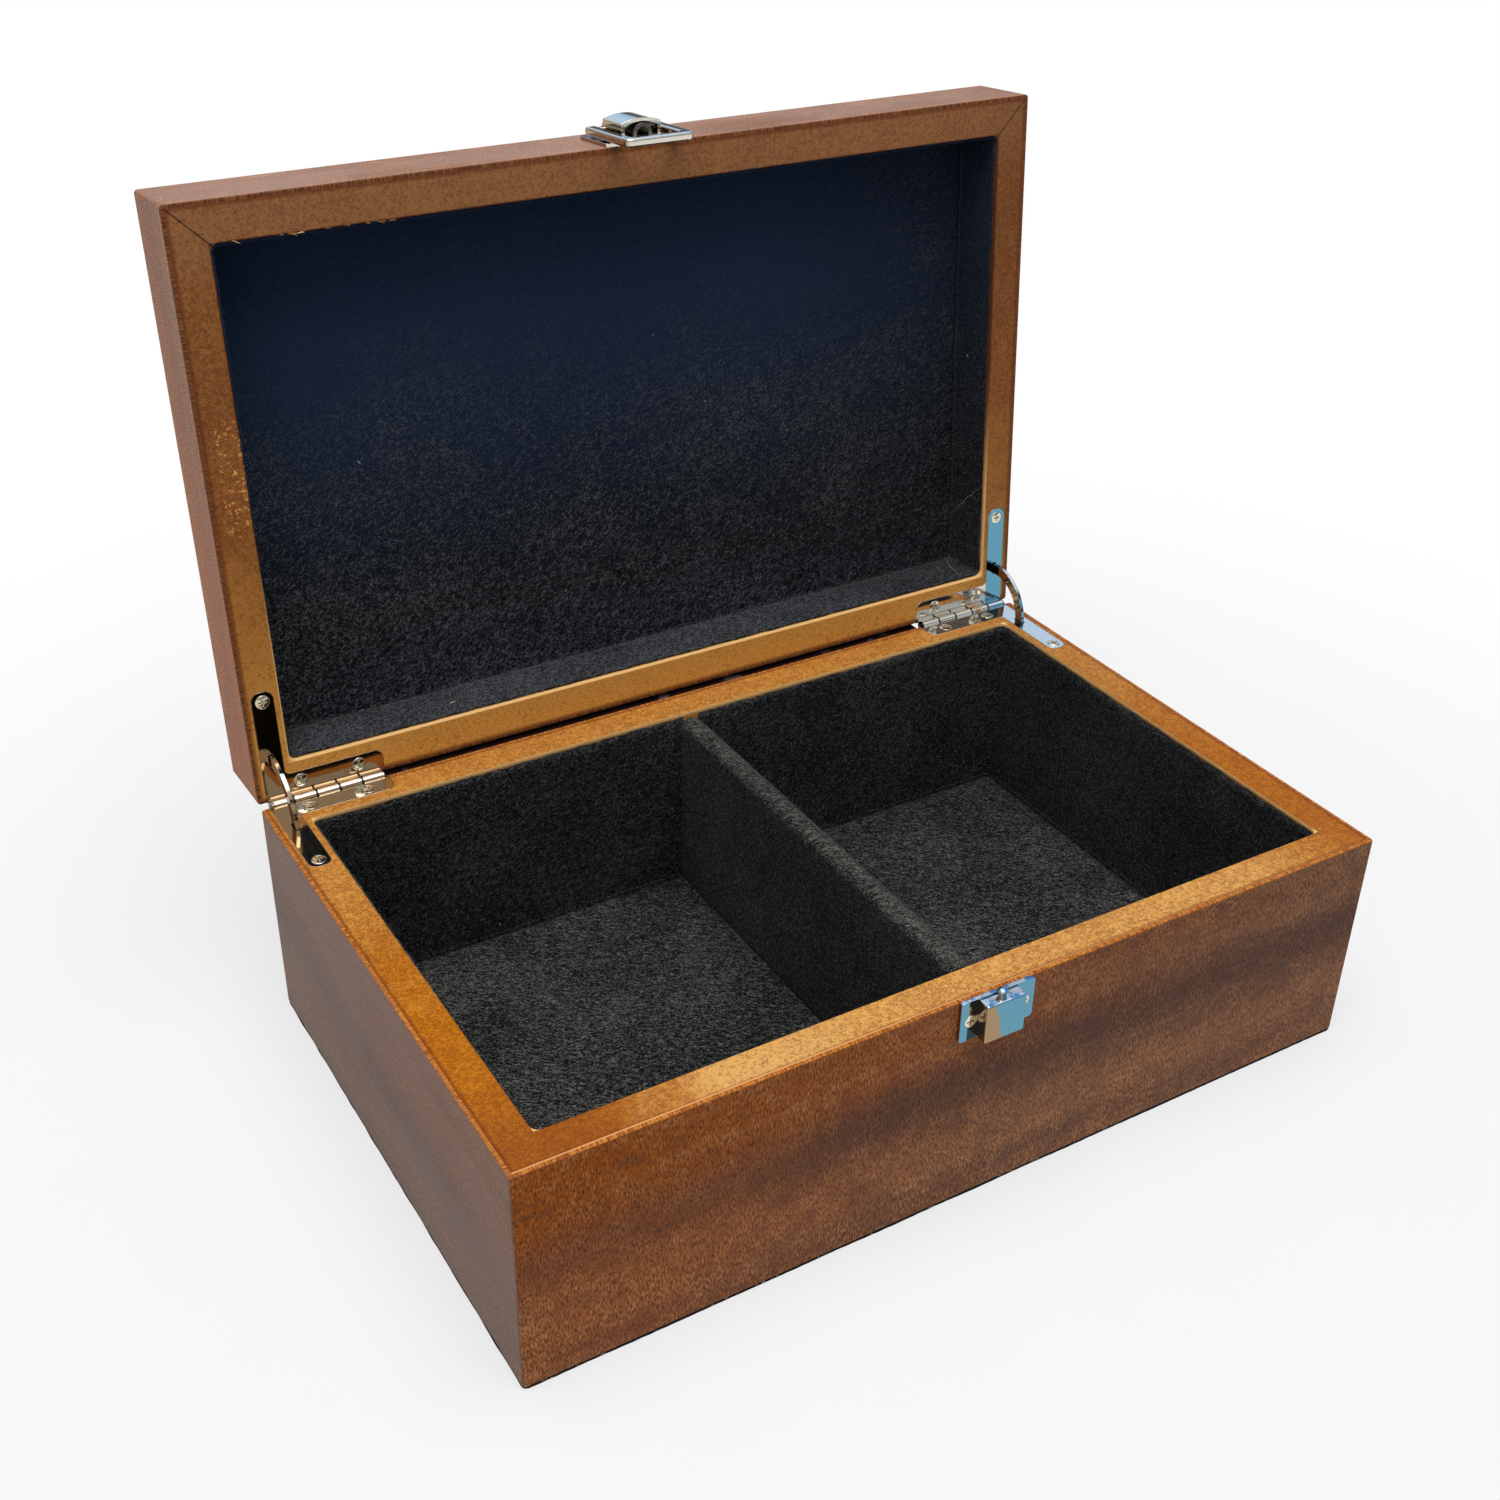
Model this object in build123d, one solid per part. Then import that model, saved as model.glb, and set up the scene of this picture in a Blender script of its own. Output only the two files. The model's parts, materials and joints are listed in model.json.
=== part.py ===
from build123d import *
from math import asin, cos, degrees, radians, sin
import os

# Chess box with a hinged lid, lid standing open on its stops.
# Millimetres, +Z up, front towards -Y, origin at the centre of the underside.
# The lid and everything on it is drawn closed and then turned about the hinge axis.

# ---- case ----
case_length = 290.0         # outside, along X
case_depth = 182.0          # outside, along Y
base_height = 75.0          # foot sheet to base rim
lid_height = 26.0           # lid rim to lid top
wall = 12.0                 # rim width, veneer included
veneer = 1.2                # veneer sheet with its lacquer
corner_round = 1.1          # upright outside corners, cut in the veneer only
lid_edge_round = 1.0        # outside edges of the lid's top sheet
rim_edge_round = 0.45       # outside edge of both rims
inner_corner_round = 2.6    # upright corners of the openings
lip_round = 0.6             # inside edge of both rims
closed_gap = 1.0            # between the rims when shut
lid_open_angle = 94.5

# ---- floor, divider and cloth ----
foot_thick = 1.0            # dark cloth sheet under the base
foot_inset = 0.8
floor_board = 6.8
top_board = 3.8
felt = 0.8                  # flocked lining
lining_below_rim = 1.4
divider_core = 6.4
divider_below_rim = 2.5     # felt-covered top of the divider, under the rim

# ---- hinges, measured inward from a side face (u) and forward from the back face (v) ----
hinge_back = 0.9            # axis behind the back face
hinge_drop = 0.5            # axis below the base rim
barrel_radius = 1.9
barrel_start = 3.1
knuckle_length = 7.48
knuckle_count = 5
knuckle_gap = 0.15
pin_radius = 0.8
pin_clearance = 0.05
leaf_thick = 1.2
long_leg_near = 2.8
long_leg_width = 7.0
long_leg_reach = 37.3
short_leg_width = 8.0
short_leg_reach = 41.5
leaf_corner_round = 3.0
leaf_inner_round = 1.5
leaf_fit = 0.1              # around a leaf in its recess
barrel_clearance = 0.4      # barrel to wood
knuckle_clearance = 0.3     # barrel to the other leaf
long_leg_screw_v = 33.9
short_leg_screw_u = (14.3, 33.3)
short_leg_screw_v = 4.8

# ---- curved stays, angles about the hinge axis, from straight forward, upward ----
stay_inner = 13.0
stay_width = 3.6
stay_thick = 1.2
stay_low_end = -16.0
stay_high_end = 117.0
stop_height = 1.2           # stop nibs, standing out from the stay's outer edge
stop_gap_angle = 1.2        # between a nib and its leaf with the lid open
stay_slot_side = 0.3        # slot in the leaf, beside the stay
stay_slot_end = 0.4
pocket_clearance = 0.4      # pocket in the wood, round the stay

# ---- screws ----
hinge_screw_head = 4.4
hinge_screw_shank = 2.2
hinge_screw_length = 10.0
plate_screw_head = 4.0
plate_screw_shank = 2.0
plate_screw_length = 8.0
hinge_screw_dome = 0.35
plate_screw_dome = 0.12
screw_fit = 0.03            # around a screw in its hole
cross_length = 2.6          # cross recess
cross_width = 0.5
cross_depth = 0.7

# ---- keeper on the base front ----
plate_width = 25.0          # keeper plate and latch plate alike
plate_corner_round = 1.0
keeper_screw_offset = 9.0   # from the middle
latch_screw_offset = 9.6
keeper_plate_height = 13.5
keeper_plate_thick = 1.3
keeper_screw_drop = 7.0
block_width = 13.5
block_height = 12.8
block_reach = 5.4           # from the base front face
block_drop = 0.5            # block top below the rim
block_round = 0.7
stud_neck_radius = 1.1
stud_head_radius = 1.75
stud_neck = 1.1             # neck above the block
stud_head = 1.5
stud_seat = 4.0             # depth in the block

# ---- latch on the lid front, heights above the closed lid's rim ----
latch_plate_low = 0.3
latch_plate_height = 17.6
latch_plate_thick = 1.1
latch_screw_height = 8.0
housing_width = 13.1
housing_low = 1.2
housing_high = 17.6
housing_side_reach = 6.0    # from the lid front face, at the sides
housing_crown_reach = 7.2   # at the middle
housing_sheet = 1.0
housing_end_round = 4.5
clip_low = 0.3
clip_length = 4.2
clip_sheet = 1.1
clip_clearance = 0.3        # stud head to clip
pivot_height = 15.0
pivot_reach = 2.6           # from the lid front face
latch_pin_radius = 1.0
latch_pin_clearance = 0.05
ring_width = 23.1
ring_window = 15.85
ring_thick = 2.6
ring_bar = 3.0
ring_drop = 11.4            # ring's lower edge below the lid rim
ring_outer_round = 2.4
ring_inner_round = 1.4
ring_edge_round = 0.8
ring_pin_inset = 0.25       # pin end inside the ring's side

# ---- worked out ----
half_length = case_length / 2
half_depth = case_depth / 2
rim_z = base_height
lid_rim_z = rim_z + closed_gap
lid_top_z = lid_rim_z + lid_height
hinge_y = half_depth + hinge_back
hinge_z = rim_z - hinge_drop
hinge_axis = Axis((0, hinge_y, hinge_z), (1, 0, 0))
board_z = foot_thick + floor_board
floor_z = board_z + felt
lid_board_z = lid_top_z - veneer - top_board
barrel_stop = barrel_start + knuckle_count * knuckle_length
stay_u = long_leg_near + long_leg_width / 2
stay_outer = stay_inner + stay_width
stud_y = -half_depth - block_reach / 2
block_top_z = rim_z - block_drop
corner = Pos(half_length, half_depth, 0) * Rot(0, 0, 180)
cut_margin = 1.0            # how far cutting tools run past a face


def slab(low, high):
    """Box between two opposite corners."""
    size = [b - a for a, b in zip(low, high)]
    middle = [(a + b) / 2 for a, b in zip(low, high)]
    return Pos(*middle) * Box(*size)


def outline(length, depth, radius):
    """Rectangle about the origin, with rounded corners where a radius is given."""
    if radius > 0:
        return RectangleRounded(length, depth, radius)
    return Rectangle(length, depth)


def ring_wall(outside, inside, low, high):
    """Four-sided wall between two outlines, from one height to another."""
    return Pos(0, 0, low) * extrude(outside - inside, high - low)


def edges_at(shape, height, reach_x, reach_y, slack=0.05):
    """Level edges of a four-sided wall that lie on the outline of the given half sizes."""
    found = []
    for edge in shape.edges():
        box = edge.bounding_box()
        level = abs(box.min.Z - height) < slack and abs(box.max.Z - height) < slack
        far_x = max(abs(box.min.X), abs(box.max.X))
        far_y = max(abs(box.min.Y), abs(box.max.Y))
        on_x = abs(far_x - reach_x) < slack
        on_y = abs(far_y - reach_y) < slack
        inside = far_x < reach_x + slack and far_y < reach_y + slack
        if level and inside and (on_x or on_y):
            found.append(edge)
    return found


def mitred(ring, low, high, depth):
    """Cut a four-sided wall along its corner mitres into front, back, left and right."""
    out_x, out_y = half_length + cut_margin, half_depth + cut_margin
    in_x, in_y = half_length - depth, half_depth - depth
    front = [(-out_x, -out_y), (out_x, -out_y), (in_x, -in_y), (-in_x, -in_y)]
    right = [(out_x, -out_y), (out_x, out_y), (in_x, in_y), (in_x, -in_y)]
    wedges = {
        "front": front,
        "back": [(-x, -y) for x, y in front],
        "right": right,
        "left": [(-x, -y) for x, y in right],
    }
    pieces = {}
    for name, points in wedges.items():
        face = make_face(Polyline(*points, close=True))
        pieces[name] = ring & Pos(0, 0, low - cut_margin) * extrude(face, high - low + 2 * cut_margin)
    return pieces


# ---- hinge, drawn at the right-hand back corner: X inward, Y forward ----

def along(radius, start, stop):
    """Cylinder round the hinge axis between two distances from the side face."""
    middle = Pos((start + stop) / 2, -hinge_back, hinge_z)
    return middle * Rot(0, 90, 0) * Cylinder(radius, stop - start)


def knuckle_spans(first):
    """Every second knuckle's start and end, without the gaps."""
    starts = [barrel_start + i * knuckle_length for i in range(first, knuckle_count, 2)]
    return [(s, s + knuckle_length) for s in starts]


def leaf_outline(grow):
    """L-shaped leaf seen from above, grown all round by the fit in its recess."""
    long_leg = Pos(stay_u, long_leg_reach / 2) * Rectangle(long_leg_width, long_leg_reach)
    short_length = short_leg_reach - long_leg_near
    short_leg = Pos(long_leg_near + short_length / 2, short_leg_width / 2) * Rectangle(
        short_length, short_leg_width)
    shape = long_leg + short_leg
    ends = [v for v in shape.vertices() if v.Y > long_leg_reach - 0.01 or
            (v.X > short_leg_reach - 0.01 and v.Y > 0.01)]
    shape = fillet(ends, leaf_corner_round)
    inner = shape.vertices().sort_by_distance((long_leg_near + long_leg_width, short_leg_width))[0]
    shape = fillet(inner, leaf_inner_round)
    return offset(shape, grow, kind=Kind.ARC) if grow else shape


def leaf_levels(up):
    """Lower and upper height of a leaf: the base's lies under its rim, the lid's over its rim."""
    return (lid_rim_z, lid_rim_z + leaf_thick) if up else (rim_z - leaf_thick, rim_z)


def screw_places():
    """Screw centres of one leaf."""
    return [(stay_u, long_leg_screw_v)] + [(u, short_leg_screw_v) for u in short_leg_screw_u]


def cap(radius, height):
    """Shallow dome standing on z = 0."""
    ball = (radius ** 2 + height ** 2) / (2 * height)
    return Pos(0, 0, height - ball) * Sphere(ball) & Pos(0, 0, height / 2) * Cylinder(radius, height)


def screw(head, shank, length, dome, grow=0.0):
    """Countersunk screw pointing down from z = 0, or its hole where it is grown."""
    head_radius, shank_radius = head / 2 + grow, shank / 2 + grow
    sink = (head - shank) / 2
    body = Pos(0, 0, -length / 2) * Cylinder(shank_radius, length)
    body += Pos(0, 0, -sink / 2) * Cone(shank_radius, head_radius, sink)
    if grow:
        return body + Pos(0, 0, cut_margin / 2) * Cylinder(head_radius, cut_margin)
    body += cap(head_radius, dome)
    for turn in (0, 90):
        arm = Box(cross_length, cross_width, 2 * cross_depth)
        body -= Rot(0, 0, turn) * arm
    return body


def leaf_screws(up, grow=0.0):
    """The leaf's screws, or their holes, heads on the rim's side."""
    level = lid_rim_z if up else rim_z
    flip = Rot(180, 0, 0) if up else Rot(0, 0, 0)
    one = screw(hinge_screw_head, hinge_screw_shank, hinge_screw_length, hinge_screw_dome, grow)
    return [Pos(u, v, level) * flip * one for u, v in screw_places()]


def leaf(up):
    """Hinge leaf with its knuckles: the base carries three of them, the lid two."""
    low, high = leaf_levels(up)
    mine, other = knuckle_spans(1 if up else 0), knuckle_spans(0 if up else 1)
    body = Pos(0, 0, low) * extrude(leaf_outline(0), leaf_thick)
    for start, stop in mine:
        body += slab((start, -hinge_back, low), (stop, short_leg_width / 2, high))
    for start, stop in other:
        body -= along(barrel_radius + knuckle_clearance, start, stop)
    for start, stop in mine:
        body += along(barrel_radius, start, stop)
    for start, stop in mine:
        for edge in (start, stop):
            body -= along(barrel_radius + knuckle_clearance, edge - knuckle_gap / 2, edge + knuckle_gap / 2)
    body -= along(pin_radius + pin_clearance, barrel_start - cut_margin, barrel_stop + cut_margin)
    slot_length = stay_width + 2 * stay_slot_end
    slot_middle = stay_inner + stay_width / 2 - hinge_back
    slot_width = stay_thick + 2 * stay_slot_side
    body -= Pos(stay_u, slot_middle, (low + high) / 2) * Box(slot_width, slot_length, 2 * leaf_thick)
    for hole in leaf_screws(up, screw_fit):
        body -= hole
    return body


def hinge_pin():
    """Pin through all the knuckles, held in the base's."""
    return along(pin_radius, barrel_start, barrel_stop)


def arc_band(inner, outer, start, stop, thick):
    """Flat curved bar about the hinge axis, standing in the plane of the stay."""
    def point(radius, angle):
        return radius * cos(radians(angle)), radius * sin(radians(angle))
    middle = (start + stop) / 2
    edges = [
        ThreePointArc(point(outer, start), point(outer, middle), point(outer, stop)),
        Line(point(outer, stop), point(inner, stop)),
        ThreePointArc(point(inner, stop), point(inner, middle), point(inner, start)),
        Line(point(inner, start), point(outer, start)),
    ]
    face = Plane.YZ * make_face(edges)
    return Pos(stay_u, -hinge_back, hinge_z) * extrude(face, thick / 2, both=True)


def leaf_angle(up):
    """Angle at which the stay's outer edge leaves the far side of a leaf, lid closed."""
    low, high = leaf_levels(up)
    rise = (high if up else low) - hinge_z
    return degrees(asin(rise / stay_outer))


def stay():
    """Curved stay with a stop nib near each end, in place for the open lid."""
    body = arc_band(stay_inner, stay_outer, stay_low_end, stay_high_end, stay_thick)
    low_stop = leaf_angle(False) - stop_gap_angle
    high_stop = leaf_angle(True) + lid_open_angle + stop_gap_angle
    nib = stay_outer + stop_height
    body += arc_band(stay_outer - stop_height, nib, stay_low_end, low_stop, stay_thick)
    body += arc_band(stay_outer - stop_height, nib, high_stop, stay_high_end, stay_thick)
    return body


def hinge_cuts(up):
    """Everything one hinge takes out of the wood of the base or, turned up, of the lid."""
    low, high = leaf_levels(up)
    recess = extrude(leaf_outline(leaf_fit), leaf_thick + cut_margin)
    recess += slab((long_leg_near - leaf_fit, -cut_margin, 0),
                   (short_leg_reach + leaf_fit, cut_margin, leaf_thick + cut_margin))
    recess = Pos(0, 0, low - (cut_margin if up else 0)) * recess
    groove = along(barrel_radius + barrel_clearance, barrel_start - barrel_clearance,
                   barrel_stop + barrel_clearance)
    swing = lid_open_angle / 2 + pocket_clearance * 10
    reach = stay_high_end - lid_open_angle if up else -stay_low_end
    sign = 1 if up else -1
    pocket = arc_band(stay_inner - pocket_clearance, stay_outer + stop_height + pocket_clearance,
                      0, sign * (reach + swing), stay_thick + 2 * pocket_clearance)
    return [recess, groove, pocket] + leaf_screws(up, screw_fit)


def on_both_sides(shape):
    """A right-hand piece put in place, and its mirror image on the left."""
    placed = corner * shape
    return {"right": placed, "left": mirror(placed, about=Plane.YZ)}


# ---- front hardware, heights from a rim plane ----

def front_screws(offset, level, face_y, grow=0.0):
    """Two screws through a front plate, heads forward."""
    one = screw(plate_screw_head, plate_screw_shank, plate_screw_length, plate_screw_dome, grow)
    return [Pos(side * offset, face_y, level) * Rot(90, 0, 0) * one for side in (-1, 1)]


def keeper_screws(grow=0.0):
    """The keeper plate's screws, or their holes."""
    face_y = -half_depth - keeper_plate_thick
    return front_screws(keeper_screw_offset, rim_z - keeper_screw_drop, face_y, grow)


def latch_screws(grow=0.0):
    """The latch plate's screws, or their holes."""
    face_y = -half_depth - latch_plate_thick
    return front_screws(latch_screw_offset, lid_rim_z + latch_screw_height, face_y, grow)


def front_plate(low, height, thick):
    """Upright rounded plate on the front face."""
    face = Plane.XZ * Pos(0, low + height / 2) * RectangleRounded(plate_width, height, plate_corner_round)
    return Pos(0, -half_depth, 0) * extrude(face, thick)


def keeper():
    """Keeper plate, block and stud on the base front, and the plate's screws."""
    plate_y = -half_depth - keeper_plate_thick
    plate = front_plate(rim_z - keeper_plate_height, keeper_plate_height, keeper_plate_thick)
    for hole in keeper_screws(screw_fit):
        plate -= hole
    block = slab((-block_width / 2, -half_depth - block_reach, block_top_z - block_height),
                 (block_width / 2, plate_y, block_top_z))
    block = fillet([e for e in block.edges() if e.center().Y < plate_y - 0.01], block_round)
    stud = Pos(0, stud_y, block_top_z - stud_seat) * stud_solid()
    block -= Pos(0, stud_y, block_top_z - stud_seat / 2) * Cylinder(stud_neck_radius, stud_seat)
    return {
        "keeper_plate": plate,
        "keeper_block": block,
        "keeper_stud": stud,
        "keeper_screws": Compound(keeper_screws()),
    }


def stud_solid():
    """Mushroom-headed stud standing on z = 0: stem, flared shoulder and dome."""
    stem = stud_seat + stud_neck
    flare = stud_head / 3
    body = Pos(0, 0, stem / 2) * Cylinder(stud_neck_radius, stem)
    body += Pos(0, 0, stem + flare / 2) * Cone(stud_neck_radius, stud_head_radius, flare)
    return body + Pos(0, 0, stem + flare) * cap(stud_head_radius, stud_head - flare)


def housing_profile(shrink):
    """Crowned section of the housing, looking along the lid's height, on the lid front face."""
    half = housing_width / 2 - shrink
    side, crown = housing_side_reach - shrink, housing_crown_reach - shrink
    edges = [
        Line((-half, 0), (-half, side)),
        ThreePointArc((-half, side), (0, crown), (half, side)),
        Line((half, side), (half, 0)),
        Line((half, 0), (-half, 0)),
    ]
    return make_face(edges)


def housing_form(shrink, low, high):
    """Crowned bar with its upper end rounded down to the plate."""
    # the section stands in a level plane, its reach pointing forward
    plane = Plane(origin=(0, -half_depth, lid_rim_z + low), x_dir=(-1, 0, 0), z_dir=(0, 0, 1))
    bar = extrude(plane * housing_profile(shrink), high - low)
    top = lid_rim_z + high
    far = -half_depth - housing_crown_reach + shrink
    rounding = housing_end_round - shrink
    edges = [
        Line((far, 0), (cut_margin - half_depth, 0)),
        Line((cut_margin - half_depth, 0), (cut_margin - half_depth, top)),
        Line((cut_margin - half_depth, top), (far + rounding, top)),
        RadiusArc((far + rounding, top), (far, top - rounding), rounding),
        Line((far, top - rounding), (far, 0)),
    ]
    side = Plane.YZ * make_face(edges)
    return bar & extrude(side, housing_width, both=True)


def along_pivot(radius, length):
    """Cylinder round the ring's pivot axis."""
    middle = Pos(0, -half_depth - pivot_reach, lid_rim_z + pivot_height)
    return middle * Rot(0, 90, 0) * Cylinder(radius, length)


def housing():
    """Pressed-sheet cover on the latch plate, open below."""
    body = housing_form(0, housing_low, housing_high)
    body -= housing_form(housing_sheet, housing_low - cut_margin, housing_high - housing_sheet)
    body &= slab((-plate_width, -half_depth - 2 * housing_crown_reach, rim_z),
                 (plate_width, -half_depth - latch_plate_thick, lid_top_z))
    return body - along_pivot(latch_pin_radius + latch_pin_clearance, plate_width)


def clip():
    """Arched spring clip that takes the stud's head."""
    bore = stud_head_radius + clip_clearance
    out = bore + clip_sheet
    centre_y = stud_y
    foot_y = -half_depth - latch_plate_thick
    low, high = lid_rim_z + clip_low, lid_rim_z + clip_low + clip_length
    middle = (low + high) / 2
    arch = Pos(0, centre_y, middle) * Cylinder(out, clip_length)
    arch += slab((-out, centre_y, low), (out, foot_y, high))
    arch -= Pos(0, centre_y, middle) * Cylinder(bore, clip_length)
    arch -= slab((-bore, centre_y, low), (bore, foot_y, high))
    return arch & slab((-out, centre_y - out, low), (out, foot_y, high))


def pull_ring():
    """Flat pull ring, an open frame whose two arms turn on the latch pin."""
    eye = ring_thick / 2
    low = lid_rim_z - ring_drop
    pivot = lid_rim_z + pivot_height
    height = pivot + eye - low
    frame = Pos(0, low + height / 2) * Rectangle(ring_width, height)
    frame = fillet(frame.vertices().group_by(Axis.Y)[0], ring_outer_round)
    window = Pos(0, low + ring_bar + height / 2) * Rectangle(ring_window, height)
    window = fillet(window.vertices().group_by(Axis.Y)[0], ring_inner_round)
    face = Plane.XZ * (frame - window)
    back = -half_depth - pivot_reach + eye
    body = Pos(0, back, 0) * extrude(face, ring_thick)
    across = [e for e in body.edges()
              if e.bounding_box().min.Z > pivot + eye - 0.01 and e.bounding_box().size.X > 1]
    body = fillet(across, eye * 0.98)
    rails = [e for e in body.edges()
             if e.bounding_box().size.Y < 0.01 and e.center().Y < back - ring_thick + 0.01]
    body = fillet(rails, ring_edge_round)
    return body - along_pivot(latch_pin_radius + latch_pin_clearance, ring_width * 2)


def latch():
    """Plate, housing, clip, pin and pull ring on the lid front, and the plate's screws."""
    plate = front_plate(lid_rim_z + latch_plate_low, latch_plate_height, latch_plate_thick)
    for hole in latch_screws(screw_fit):
        plate -= hole
    return {
        "latch_plate": plate,
        "latch_housing": housing(),
        "latch_clip": clip(),
        "latch_pin": along_pivot(latch_pin_radius, ring_width - 2 * ring_pin_inset),
        "latch_ring": pull_ring(),
        "latch_screws": Compound(latch_screws()),
    }


# ---- wood ----

def opening_outline(grow=0.0):
    """Outline of the box's opening, shrunk by a lining's thickness where it is given."""
    return outline(case_length - 2 * (wall + grow), case_depth - 2 * (wall + grow),
                   inner_corner_round - min(grow, inner_corner_round / 2))


def carcass(low, high, rim, up, cuts):
    """Core boards and veneer sheets of the base or the lid, mitred at the corners."""
    core_x, core_y = case_length - 2 * veneer, case_depth - 2 * veneer
    core = ring_wall(outline(core_x, core_y, 0), opening_outline(), low, high)
    core = fillet(edges_at(core, rim, half_length - wall, half_depth - wall), lip_round)
    sheet_high = lid_top_z - veneer if up else high
    skin = ring_wall(outline(case_length, case_depth, corner_round), outline(core_x, core_y, 0),
                     low, sheet_high)
    skin = fillet(edges_at(skin, rim, half_length, half_depth), rim_edge_round)
    for tool in cuts:
        core -= tool
        skin -= tool
    return mitred(core, low, high, wall + inner_corner_round), mitred(skin, low, sheet_high, 2 * veneer)


def tray_lining(low, high, open_side, floor_low, floor_high):
    """Felt on the walls and on the floor of the opening; open_side 0 covers all round."""
    walls = ring_wall(opening_outline(), opening_outline(felt), low, high)
    floor = Pos(0, 0, floor_low) * extrude(opening_outline(), floor_high - floor_low)
    body = walls + floor
    if open_side:
        near, far = divider_core / 2 + felt, half_length
        low_x, high_x = (near, far) if open_side > 0 else (-far, -near)
        body &= slab((low_x, -half_depth, min(low, floor_low)), (high_x, half_depth, max(high, floor_high)))
    return body


def divider():
    """Divider board and the felt folded over it."""
    reach = half_depth - wall
    top = rim_z - divider_below_rim
    core_half, cover_half = divider_core / 2, divider_core / 2 + felt
    core = slab((-core_half, -reach, board_z), (core_half, reach, top - felt))
    core = fillet(core.edges().filter_by(Axis.Y).group_by(Axis.Z)[-1], core_half * 0.8)
    cover = slab((-cover_half, -reach, board_z), (cover_half, reach, top))
    cover = fillet(cover.edges().filter_by(Axis.Y).group_by(Axis.Z)[-1], cover_half * 0.84)
    return {"divider_board": core, "divider_felt": cover - core}


def base_nodes():
    """Base boards, veneers, floor, foot sheet and linings."""
    cuts = keeper_screws(screw_fit)
    for tool in hinge_cuts(False):
        cuts += list(on_both_sides(tool).values())
    core, skin = carcass(foot_thick, rim_z, rim_z, False, cuts)
    nodes = {}
    for side, piece in core.items():
        nodes["base_wall_" + side] = piece
    for side, piece in skin.items():
        nodes["base_veneer_" + side] = piece
    nodes["base_floor_board"] = Pos(0, 0, foot_thick) * extrude(opening_outline(), floor_board)
    foot = outline(case_length - 2 * foot_inset, case_depth - 2 * foot_inset, corner_round)
    nodes["base_foot_felt"] = extrude(foot, foot_thick)
    lining_top = rim_z - lining_below_rim
    for name, side in (("left", -1), ("right", 1)):
        nodes["base_lining_" + name] = tray_lining(board_z, lining_top, side, board_z, floor_z)
    return nodes | divider() | keeper()


def lid_nodes():
    """Lid boards, veneers and lining, all drawn closed."""
    cuts = latch_screws(screw_fit)
    for tool in hinge_cuts(True):
        cuts += list(on_both_sides(tool).values())
    core, skin = carcass(lid_rim_z, lid_board_z, lid_rim_z, True, cuts)
    nodes = {}
    for side, piece in core.items():
        nodes["lid_wall_" + side] = piece
    for side, piece in skin.items():
        nodes["lid_veneer_" + side] = piece
    board = outline(case_length - 2 * veneer, case_depth - 2 * veneer, 0)
    nodes["lid_top_board"] = Pos(0, 0, lid_board_z) * extrude(board, top_board)
    sheet = extrude(outline(case_length, case_depth, corner_round), veneer)
    sheet = fillet(sheet.edges().group_by(Axis.Z)[-1], lid_edge_round)
    nodes["lid_veneer_top"] = Pos(0, 0, lid_top_z - veneer) * sheet
    nodes["lid_lining"] = tray_lining(lid_rim_z + lining_below_rim, lid_board_z, 0,
                                      lid_board_z - felt, lid_board_z)
    for name, piece in on_both_sides(leaf(True)).items():
        nodes["hinge_lid_leaf_" + name] = piece
    for name, piece in on_both_sides(Compound(leaf_screws(True))).items():
        nodes["hinge_lid_screws_" + name] = piece
    return nodes | latch()


def hinge_nodes():
    """Hinge pieces that don't turn with the lid: base leaves, screws, pins and stays."""
    pieces = {
        "hinge_base_leaf_": leaf(False),
        "hinge_base_screws_": Compound(leaf_screws(False)),
        "hinge_pin_": hinge_pin(),
        "hinge_stay_": stay(),
    }
    nodes = {}
    for name, piece in pieces.items():
        for side, placed in on_both_sides(piece).items():
            nodes[name + side] = placed
    return nodes


def main():
    """Write every piece, the lid's turned open about the hinge axis."""
    os.makedirs("parts", exist_ok=True)
    nodes = base_nodes() | hinge_nodes()
    for name, piece in lid_nodes().items():
        nodes[name] = piece.rotate(hinge_axis, -lid_open_angle)
    for name, piece in nodes.items():
        export_step(piece, "parts/" + name + ".step")


main()
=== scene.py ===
"""Looks of a chess box with a hinged lid: studio, wood, felt and nickel finishes, and the box's small wear.

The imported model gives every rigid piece. The felt linings, the divider's felt and the foot cloth are
made here as thin uneven sheets, and lint, frayed fibres and sawdust are spread over them.
"""
import json
import logging
import math
from dataclasses import dataclass, field, replace
from enum import Enum
from typing import Mapping, Sequence
import bpy
import numpy as np
from mathutils import Matrix, Vector

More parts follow.
